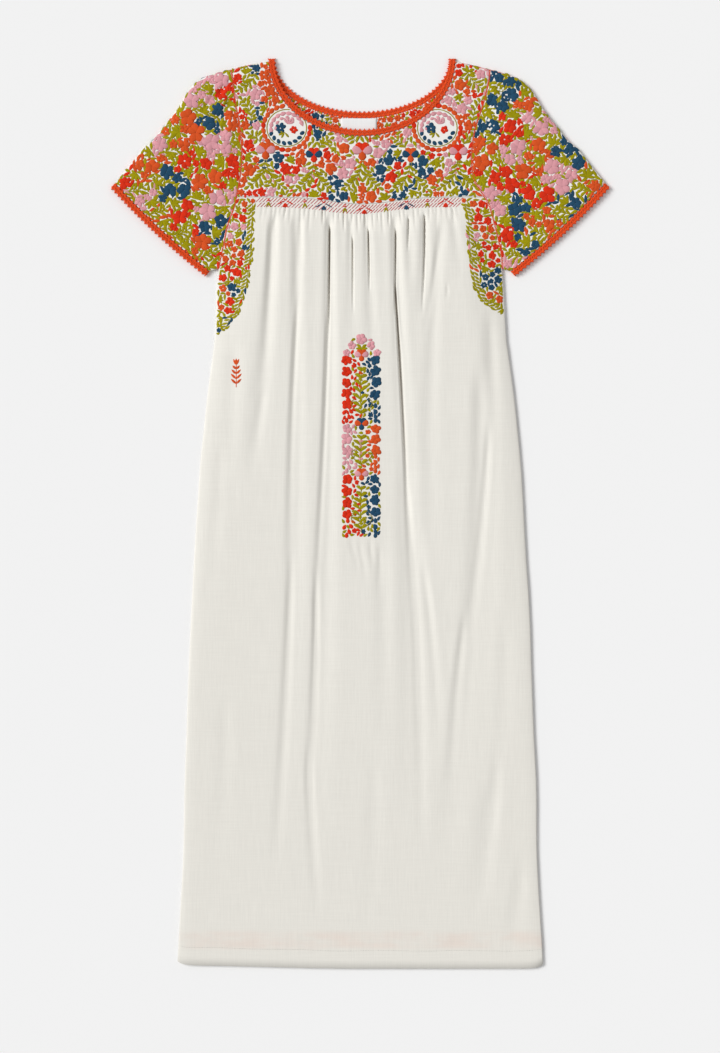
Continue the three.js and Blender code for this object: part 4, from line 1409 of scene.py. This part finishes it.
def yoke_front(st, threads):
    """Yoke: two wreaths, a row of pansies over pairs of ferns, ferns up the armholes, then flowers."""
    x, y = yoke_plan(NECK_FRONT, 30)
    ground = Ground(outline_of(x, y), 0.3)
    green = threads["green"]
    for px in (-105, 110):
        medallion(st, ground, px, threads)
    for row in YOKE_PANSIES:
        px, py, size = (float(row[key]) for key in ("x", "y", "size"))
        if ground.at(px, py) < 2:
            continue
        pansy(st, ground, px, py, size, *(threads[str(row[key])] for key in ("upper", "side", "lip")))
        for side in (-1, 1):
            spray(st, ground, px + side * 1.5, py - 0.8 * size, -math.pi / 2 + side * 0.5, 44, green, 11.5, 6,
                  -side * 7, 2.75, slack=0.9)
            spray(st, ground, px + side * 6, py + 0.7 * size, math.pi / 2 - side * 0.8, 22, green, 10.0, 3,
                  side * 2.5, 2.6, slack=0.9)
    for side in (-1, 1):
        for px, py, turn, bow in ((150, 632, 2.4, -4), (158, 556, 0.35, 4)):
            spray(st, ground, NECK_X + side * px, py, math.pi / 2 - side * turn, 36, green, 10.5, 5,
                  side * bow, 2.6, slack=0.9)
    sizes = ((8.2, 20), (7.0, 44), (5.6, 50), (4.3, 30))
    fill_ground(st, ground, threads, sizes, 22, 0.8, 9.5, heart=0.06, fan_apart=40, least=1.15, leaf_wide=2.7,
                leaf_share=0.36, merge=-0.2, tuck=0.0, shares=(0.36, 0.36, 0.13, 0.15), fan_size=1.2)
    return st


def flowers_between(st, outline, threads, sizes, cluster, gap, leaf_size, keep_off=None, heart=0.3, least=0.9,
                    shares=(0.28, 0.3, 0.22, 0.2)):
    """Flowers and leaves over the whole of an outline, but for a box that is kept clear."""
    ground = Ground(outline, 0.3)
    if keep_off is not None:
        low, high = keep_off
        gx, gy = np.meshgrid(ground.x, ground.y, indexing="ij")
        dx = np.maximum(np.maximum(low[0] - gx, gx - high[0]), 0)
        dy = np.maximum(np.maximum(low[1] - gy, gy - high[1]), 0)
        ground.room = np.minimum(ground.room, np.hypot(dx, dy) - 0.8)
    fill_ground(st, ground, threads, sizes, cluster, gap, leaf_size, heart=heart, fan_apart=30, least=least,
                shares=shares)


SLEEVE_SIZES = ((11.5, 12), (9.8, 26), (8.2, 32), (6.6, 26), (5.2, 14))


def sleeve_flowers(st, side, threads, least=1.0):
    """Sleeve: ferns that rise from the cuff, then large clustered flowers to the shoulder."""
    edges = sleeve_edges(side)
    outline = np.vstack([edges["start"], edges["lower"][1:], edges["end"][-2::-1], edges["upper"][-2:0:-1]])
    ground = Ground(outline, 0.2)
    sign = SIGN[side]
    up = math.atan2(-edges["out"][1], -edges["out"][0])
    for share in (0.10, 0.34, 0.58, 0.84):
        p = spaced(edges["end"], np.array([share]))[0] - edges["out"] * 2.5
        spray(st, ground, *p, up + sign * 0.55, 27, threads["green"], 11.5, 4, sign * 3, 2.4, stem=0.7,
              slack=0.2)
    fill_ground(st, ground, threads, SLEEVE_SIZES, 34, 0.35, 10.5, heart=0.06, fan_apart=32, merge=-1.3,
                leaf_wide=2.8, least=least, leaf_share=0.6, tuck=0.5, fan_size=1.35,
                shares=(0.21, 0.18, 0.44, 0.17) if side == "left" else (0.10, 0.22, 0.42, 0.26))
    return st


# Inner edges of the embroidered corners of the skirt panels, from the yoke seam down to the side seam.
UNDERARM_LEFT = np.array([
    (-149.3, 451), (-149.3, 442), (-149.7, 418), (-150.7, 395), (-152, 368), (-155.5, 352), (-157, 331),
    (-161.5, 313.5), (-166.5, 303.5), (-172, 285), (-182, 275), (-187, 265), (-201.5, 257), (-206, 254.5),
])
UNDERARM_RIGHT = np.array([
    (143.6, 451), (144.5, 440), (149.3, 423.5), (151.4, 378), (154.3, 365), (158, 332), (161.5, 321),
    (169, 305), (182, 293.5), (193, 288), (205, 282),
])


def underarm_flowers(st, side, threads):
    """Corner of a skirt panel: ferns along its inner edge, small flowers up to the armhole."""
    inner = UNDERARM_LEFT if side == "left" else UNDERARM_RIGHT
    sign = SIGN[side]
    y = np.linspace(450, inner[-1, 1], 40)
    outer = np.column_stack([panel_edge(side, y) - sign * 1.0, y])
    outline = np.vstack([inner, outer[::-1]])
    ground = Ground(outline, 0.2)
    steps = np.hypot(*np.diff(inner, axis=0).T)
    whole = steps.sum()
    count = int(whole / 5.4)
    line = spaced(inner, (np.arange(count) + 0.5) / count)
    way = np.gradient(line, axis=0)
    heading = np.arctan2(way[:, 1], way[:, 0])
    for k in range(1, count):
        x, y = line[k] + (sign * 4.8, 0)
        if k % 6 == 0:
            continue
        for lean in (0.8, -0.8):
            leaf(st, ground, x, y, heading[k] + lean, 9.4, 1.85, threads["green"], gap=0.25, slack=1.4)
        if ground.at(x, y) > 2.5:
            st.patch(x, y, heading[k], 6.0, 0.5, "bar", threads["green"], high=0.6)
    settle(st, ground)
    sizes = ((6.2, 6), (5.2, 14), (4.0, 22))
    fill_ground(st, ground, threads, sizes, 26, 0.5, 9.0, heart=0.1, least=1.15, fan_apart=30, leaf_share=0.8,
                shares=(0.26, 0.6, 0.04, 0.10))
    return st


# Sections of the centre panel from top to bottom, with the flowers on each side of the fern.
PANEL_COLUMNS = [("top", float), ("low", float), ("left", "U8"), ("right", "U8"), ("heart", "U8")]
PANEL_SECTIONS = np.array([
    (222, 134, "red", "blue", "orange"),
    (124, 62, "pink", "orange", "blue"),
    (52, -30, "red", "blue", "orange"),
], dtype=PANEL_COLUMNS)


def centre_panel(st, threads):
    """Upright panel: three sections, each a fern with a column of flowers on each side under a pansy."""
    green, pink = threads["green"], threads["pink"]
    middle = 2.0
    outline = np.array([(-24, 226), (-17, 246), (2, 257), (21, 246), (28, 226), (29.5, 100), (29.5, -33),
                        (-26.5, -33), (-26.5, 100)])
    ground = Ground(outline, 0.2)
    for x, y, radius in ((2, 248.5, 8.8), (-11.5, 239.5, 6.4), (15.5, 240, 6.6), (-19.5, 229, 5.8),
                         (24, 229, 6.0)):
        flower(st, ground, x, y, radius, pink)
    fan(st, ground, middle, 233, math.pi / 2, 11.5, green, 5)
    centres, keys = [(0, 255)], ["pink"]
    for row in PANEL_SECTIONS:
        top, low = float(row["top"]), float(row["low"])
        left, right, heart = str(row["left"]), str(row["right"]), str(row["heart"])
        centres += [(x, y) for y in (top, (top + low) / 2, low) for x in (-19, 22)]
        keys += [left, right] * 3
        pansy(st, ground, middle, top + 3, 9.2, threads[heart], pink if left == "red" else threads[right],
              threads[heart])
        spray(st, ground, middle, low + 2, math.pi / 2, top - low - 15, green, 12.6,
              round((top - low - 12) / 10.5), 1.8, 2.9, stem=0.7, gap=0.2, slack=1.9)
        for side, key, edge in ((-1, left, -18.6), (1, right, 21.8)):
            y = top - 3
            while y > low + 22:
                radius = st.random.uniform(6.8, 8.8)
                flower(st, ground, edge + st.random.uniform(-1.4, 1.4), y, radius, threads[key])
                y -= radius * 2 + 0.2
            for lean, reach in ((0.1, 3), (0.7, 12), (-0.5, 13), (0.35, 19), (-0.1, 24)):
                px, py = edge - side * 4 * lean, low + 27 - reach
                st.patch(px, py, -math.pi / 2 + lean, 8.2, 3.1, "petal", threads[key])
                st.lay.append((px, py, -math.pi / 2 + lean, 7.6, 2.6, 0.0, 0.3))
            settle(st, ground)
            px, py, way = middle + side * 2, low + 9, math.pi / 2 - side * 1.0
            for k in range(6):
                st.patch(px, py, way, 5.0, 0.55, "bar", green, high=1.4)
                px, py = away(px, py, way, 4.7)
                way += side * (0.14 if k < 3 else 0.8)
            st.patch(px, py, way, 2.8, 1.3, "round", threads[key], high=1.2)
    fill_ground(st, ground, threads, ((3.6, 12),), 26, 0.7, 6.5, heart=0.0, leaf_wide=2.3, least=1.5,
                leaf_share=0.4, clusters=Clusters(centres, keys))
    return st


# The row of small figures on the smocked strip, from left to right: where each stands, and its colour.
FIGURES = np.array([
    (-131, "green"), (-107, "red"), (-79, "green"), (-52, "blue"), (-22, "green"), (6, "red"), (37, "green"),
    (66, "blue"), (96, "green"), (122, "red"),
], dtype=[("x", float), ("colour", "U8")])


def smocked_band(st, threads):
    """Strip over the gathers: slanting pink stitches in close rows, with a row of small figures on it."""
    rose = srgb(202, 96, 106)
    for x in np.arange(-152, 149, 4.9):
        seam = float(yoke_seam(x))
        for row in range(2):
            px = x + 4.6 - row * 7.6
            if -144 < px < 150:
                st.patch(px, seam - 0.7 - 6.9 * row, -math.pi / 2 - 0.80, 10.0, 0.55, "bar", rose, high=0.55)
    for figure in FIGURES:
        x, key = float(figure["x"]), str(figure["colour"])
        colour, red = threads[key], threads["red"]
        foot = float(yoke_seam(x)) - 15.5
        if key == "green":
            for side in (-1, 1):
                st.patch(x - side * 0.3, foot + 8.6, -math.pi / 2 + side * 0.42, 8.8, 1.5, "drop", colour,
                         high=1.1)
            st.patch(x - 2.7, foot + 10.4, 0.0, 5.4, 0.75, "bar", red, high=0.9)
            st.patch(x - 1.7, foot + 12.7, 0.0, 3.4, 0.75, "bar", red, high=0.9)
        else:
            for lean in (-0.42, 0, 0.42):
                st.patch(x, foot + 7.6, -math.pi / 2 + lean, 7.2, 1.7, "petal", colour, high=1.1)
            for side in (-1, 1):
                st.patch(x + side * 1.6, foot + 10.6, -math.pi / 2 + side * 1.08, 12.0, 0.95, "round", colour,
                         high=1.0)
                st.patch(x, foot + 11.0, math.pi / 2 - side * 0.7, 4.2, 0.75, "bar", red, high=0.9)
    return st


def sprig(st, threads):
    """Small upright sprig in one colour, low on the left of the front."""
    x, y, colour = -177.0, 180.0, threads["orange"]
    for k in range(9):
        st.patch(x, y + 3.6 * k, math.pi / 2, 4.2, 0.6, "bar", colour, high=0.6)
    for rise, size in ((5, 10.5), (12, 11.0), (19, 9.5), (26, 7.5)):
        for side in (-1, 1):
            st.patch(x, y + rise, math.pi / 2 + side * 0.8, size, 1.9, "leaf", colour)
    for lean in (-0.45, 0, 0.45):
        st.patch(x, y + 32, math.pi / 2 + lean, 9.5, 1.9, "leaf", colour)
    return st


def seam_stitches(st, side):
    """Slanting stitches in crochet orange that join the sleeve to the yoke along the armhole."""
    colour = tuple(settings()[1].edging)
    line = armhole_line(side, 400)
    sign = SIGN[side]
    count = int(np.hypot(*np.diff(line, axis=0).T).sum() / 2.1)
    for x, y in spaced(line + (sign * SEAM / 2, 0), (np.arange(count) + 0.5) / count):
        st.patch(x - 1.3, y - 1.0, 0.68, 3.3, 0.6, "bar", colour, high=0.8)
    return st


def hem_stitches(st, colour):
    """Running stitch that holds the hem, about 25 mm above its edge."""
    for x in np.arange(-256, 256, 3.6):
        edge = min(x + 261, 261 - x)
        y = HEM_Y + 25.5 + 4.5 * float(smooth(-x / 260)) + 0.5 * math.sin(x / 19) + 3 * math.exp(-edge / 9)
        st.patch(x, y, st.random.uniform(-0.08, 0.08), 2.4, 0.32, "bar", colour, high=0.32)
    return st


UNDERSIDE = LOWER_TOP - 0.8
SUNK_IN = 0.05


def front_height(x, y):
    """Where the front's stitches start: just inside its outer face."""
    return upper_top(x, y) - SUNK_IN


def lower_height(x, y):
    """Where the stitches of the back start: just inside its lower face."""
    return np.full(np.shape(x), UNDERSIDE + SUNK_IN)


def stitched(st, name, material, height, sign=1, rings="fine", shown="embroidered_cloth"):
    """Makes the mesh of a set of stitches."""
    piece = st.mesh(name, material, height, sign, rings)


class DRESS_OT_embroidery(Operator):
    """Satin stitched flowers, ferns and wreaths on the front, as raised patches"""
    bl_idname = "dress.embroidery"
    bl_label = "Front embroidery"

    def execute(self, context):
        sizes, colours = settings()
        threads = thread_colours()
        thread = thread_material("embroidery_thread")
        seed = sizes.seed
        stitched(yoke_front(Stitches(seed), threads), "yoke_embroidery", thread, front_height)
        for k, side in enumerate(SIGN):
            stitched(sleeve_flowers(Stitches(seed + 11 + k), side, threads), f"sleeve_{side}_embroidery",
                     thread, front_height)
            stitched(underarm_flowers(Stitches(seed + 21 + k), side, threads),
                     f"underarm_{side}_embroidery", thread, front_height)
            stitched(seam_stitches(Stitches(seed + 31 + k), side), f"armhole_{side}_stitches", thread,
                     front_height, rings="coarse")
        stitched(centre_panel(Stitches(seed + 41), threads), "centre_embroidery", thread, front_height)
        stitched(smocked_band(Stitches(seed + 51), threads), "smocked_stitches", thread, front_height,
                 rings="coarse")
        stitched(sprig(Stitches(seed + 61), threads), "sprig_embroidery", thread, front_height)
        cotton = tuple(0.86 * c for c in colours.cotton)
        stitched(hem_stitches(Stitches(seed + 71), cotton), "hem_stitches", thread, front_height,
                 rings="coarse", shown="plain_cloth")
        return {"FINISHED"}


class DRESS_OT_back_embroidery(Operator):
    """Embroidery of the back, and its reverse where it shows in the neck opening"""
    bl_idname = "dress.back_embroidery"
    bl_label = "Back embroidery"

    def execute(self, context):
        sizes, colours = settings()
        threads = thread_colours()
        thread = thread_material("embroidery_thread_back")
        seed = sizes.seed + 100
        turns = np.linspace(NECK_TIP + 0.1, math.pi - NECK_TIP - 0.1, 90)
        upper = neck_point(NECK_BACK, EDGING_WIDE / 2 + SEAM, turns)
        lower = neck_point(NECK_FRONT, 3.0, turns)[::-1]
        low, high = (np.array(corner)[:2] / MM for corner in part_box("label"))
        st = Stitches(seed)
        flowers_between(st, np.vstack([upper, lower]), threads, ((5.0, 12), (4.0, 20), (3.2, 20)), 24, 0.7,
                        6.0, keep_off=(low, high), heart=0.0, shares=(0.22, 0.3, 0.1, 0.38))
        for turn in np.linspace(NECK_TIP + 0.25, math.pi - NECK_TIP - 0.25, 96):
            foot = neck_point(NECK_BACK, EDGING_WIDE / 2 - 1.2, turn)
            tip = neck_point(NECK_BACK, EDGING_WIDE / 2 + 3.0, turn + 0.012)
            step = tip - foot
            st.patch(*foot, math.atan2(step[1], step[0]), math.hypot(*step), 0.55, "bar",
                     tuple(colours.edging), high=0.6)
        stitched(st, "neck_reverse_embroidery", thread, lambda x, y: np.full(np.shape(x), LOWER_TOP + 0.02))

        x, y = yoke_plan(NECK_BACK, 30)
        st = Stitches(seed + 1)
        flowers = ((8.6, 20), (7.2, 40), (5.8, 60), (4.4, 60))
        flowers_between(st, outline_of(x, y), threads, flowers, 24, 0.5, 9.5, least=1.25)
        stitched(st, "back_yoke_embroidery", thread, lower_height, -1, "coarse")
        for k, side in enumerate(SIGN):
            stitched(sleeve_flowers(Stitches(seed + 11 + k), side, threads, 1.1),
                     f"sleeve_{side}_back_embroidery", thread, lower_height, -1, "coarse")
        return {"FINISHED"}


class DRESS_OT_label(Operator):
    """Blank woven label under the back of the neck"""
    bl_idname = "dress.label"
    bl_label = "Blank label"

    def execute(self, context):
        low, high = (np.array(corner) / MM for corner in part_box("label"))
        u = np.linspace(0, 1, 24)
        v = np.linspace(1, 0, 14)
        uu, vv = np.meshgrid(u, v)
        x, y = lerp(low[0], high[0], uu), lerp(low[1], high[1], vv)
        edge = np.minimum.reduce([x - low[0], high[0] - x, y - low[1], high[1] - y])
        top = high[2] - 0.35 * (1 - smooth(edge / 2.5)) + 0.12 * np.sin(x / 7.0) * smooth(edge / 5)
        label = wall("label_ribbon", x, y, top, np.full(x.shape, low[2]), label_material())
        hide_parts("label")
        return {"FINISHED"}


class DRESS_OT_stage(Operator):
    """Pale floor, soft lights and the camera straight above"""
    bl_idname = "dress.stage"
    bl_label = "Stage"

    def execute(self, context):
        scene = context.scene
        mesh = bpy.data.meshes.new("floor")
        size = 14.0
        mesh.from_pydata([(-size, -size, -0.0005), (size, -size, -0.0005), (size, size, -0.0005),
                          (-size, size, -0.0005)], [], [(0, 1, 2, 3)])
        mesh.materials.append(floor_material())
        floor = bpy.data.objects.new("floor", mesh)
        scene.collection.objects.link(floor)

        sun = bpy.data.lights.new("key", "SUN")
        sun.energy = 2.35
        sun.angle = math.radians(30)
        lamp = bpy.data.objects.new("key", sun)
        lamp.rotation_euler = (0, math.radians(-50), math.radians(-18))
        scene.collection.objects.link(lamp)
        world = bpy.data.worlds.new("studio")
        world.use_nodes = True
        world.node_tree.nodes["Background"].inputs["Color"].default_value = (1, 1, 1, 1)
        world.node_tree.nodes["Background"].inputs["Strength"].default_value = 0.5
        scene.world = world
        scene.view_settings.view_transform = "Standard"

        camera = bpy.data.cameras.new("camera")
        camera.sensor_fit = "VERTICAL"
        camera.sensor_height = 24
        distance, tall = 5.0, 1.5043
        camera.lens = 24 * distance / tall
        eye = bpy.data.objects.new("camera", camera)
        eye.location = (-0.0003, -0.0186, distance + 0.003)
        scene.collection.objects.link(eye)
        scene.camera = eye
        return {"FINISHED"}


class DRESS_PT_panel(Panel):
    bl_idname = "DRESS_PT_panel"
    bl_label = "Embroidered dress"
    bl_space_type = "VIEW_3D"
    bl_region_type = "UI"
    bl_category = "Dress"

    def draw(self, context):
        layout = self.layout
        for holder in (context.scene.dress_sizes, context.scene.dress_colours):
            for key in holder.__annotations__:
                layout.prop(holder, key)
        for step in STEPS:
            layout.operator(step.bl_idname)


STEPS = (DRESS_OT_stage, DRESS_OT_skirt, DRESS_OT_yoke, DRESS_OT_sleeves, DRESS_OT_edgings,
         DRESS_OT_embroidery, DRESS_OT_back_embroidery, DRESS_OT_label)
CLASSES = (DressColours, DressSizes, *STEPS, DRESS_PT_panel)


def register():
    for item in CLASSES:
        bpy.utils.register_class(item)
    bpy.types.Scene.dress_sizes = PointerProperty(type=DressSizes)
    bpy.types.Scene.dress_colours = PointerProperty(type=DressColours)


def unregister():
    del bpy.types.Scene.dress_colours
    del bpy.types.Scene.dress_sizes
    for item in reversed(CLASSES):
        bpy.utils.unregister_class(item)


def main():
    register()
    for step in STEPS:
        space, name = step.bl_idname.split(".")
        getattr(getattr(bpy.ops, space), name)()


if __name__ == "__main__":
    main()
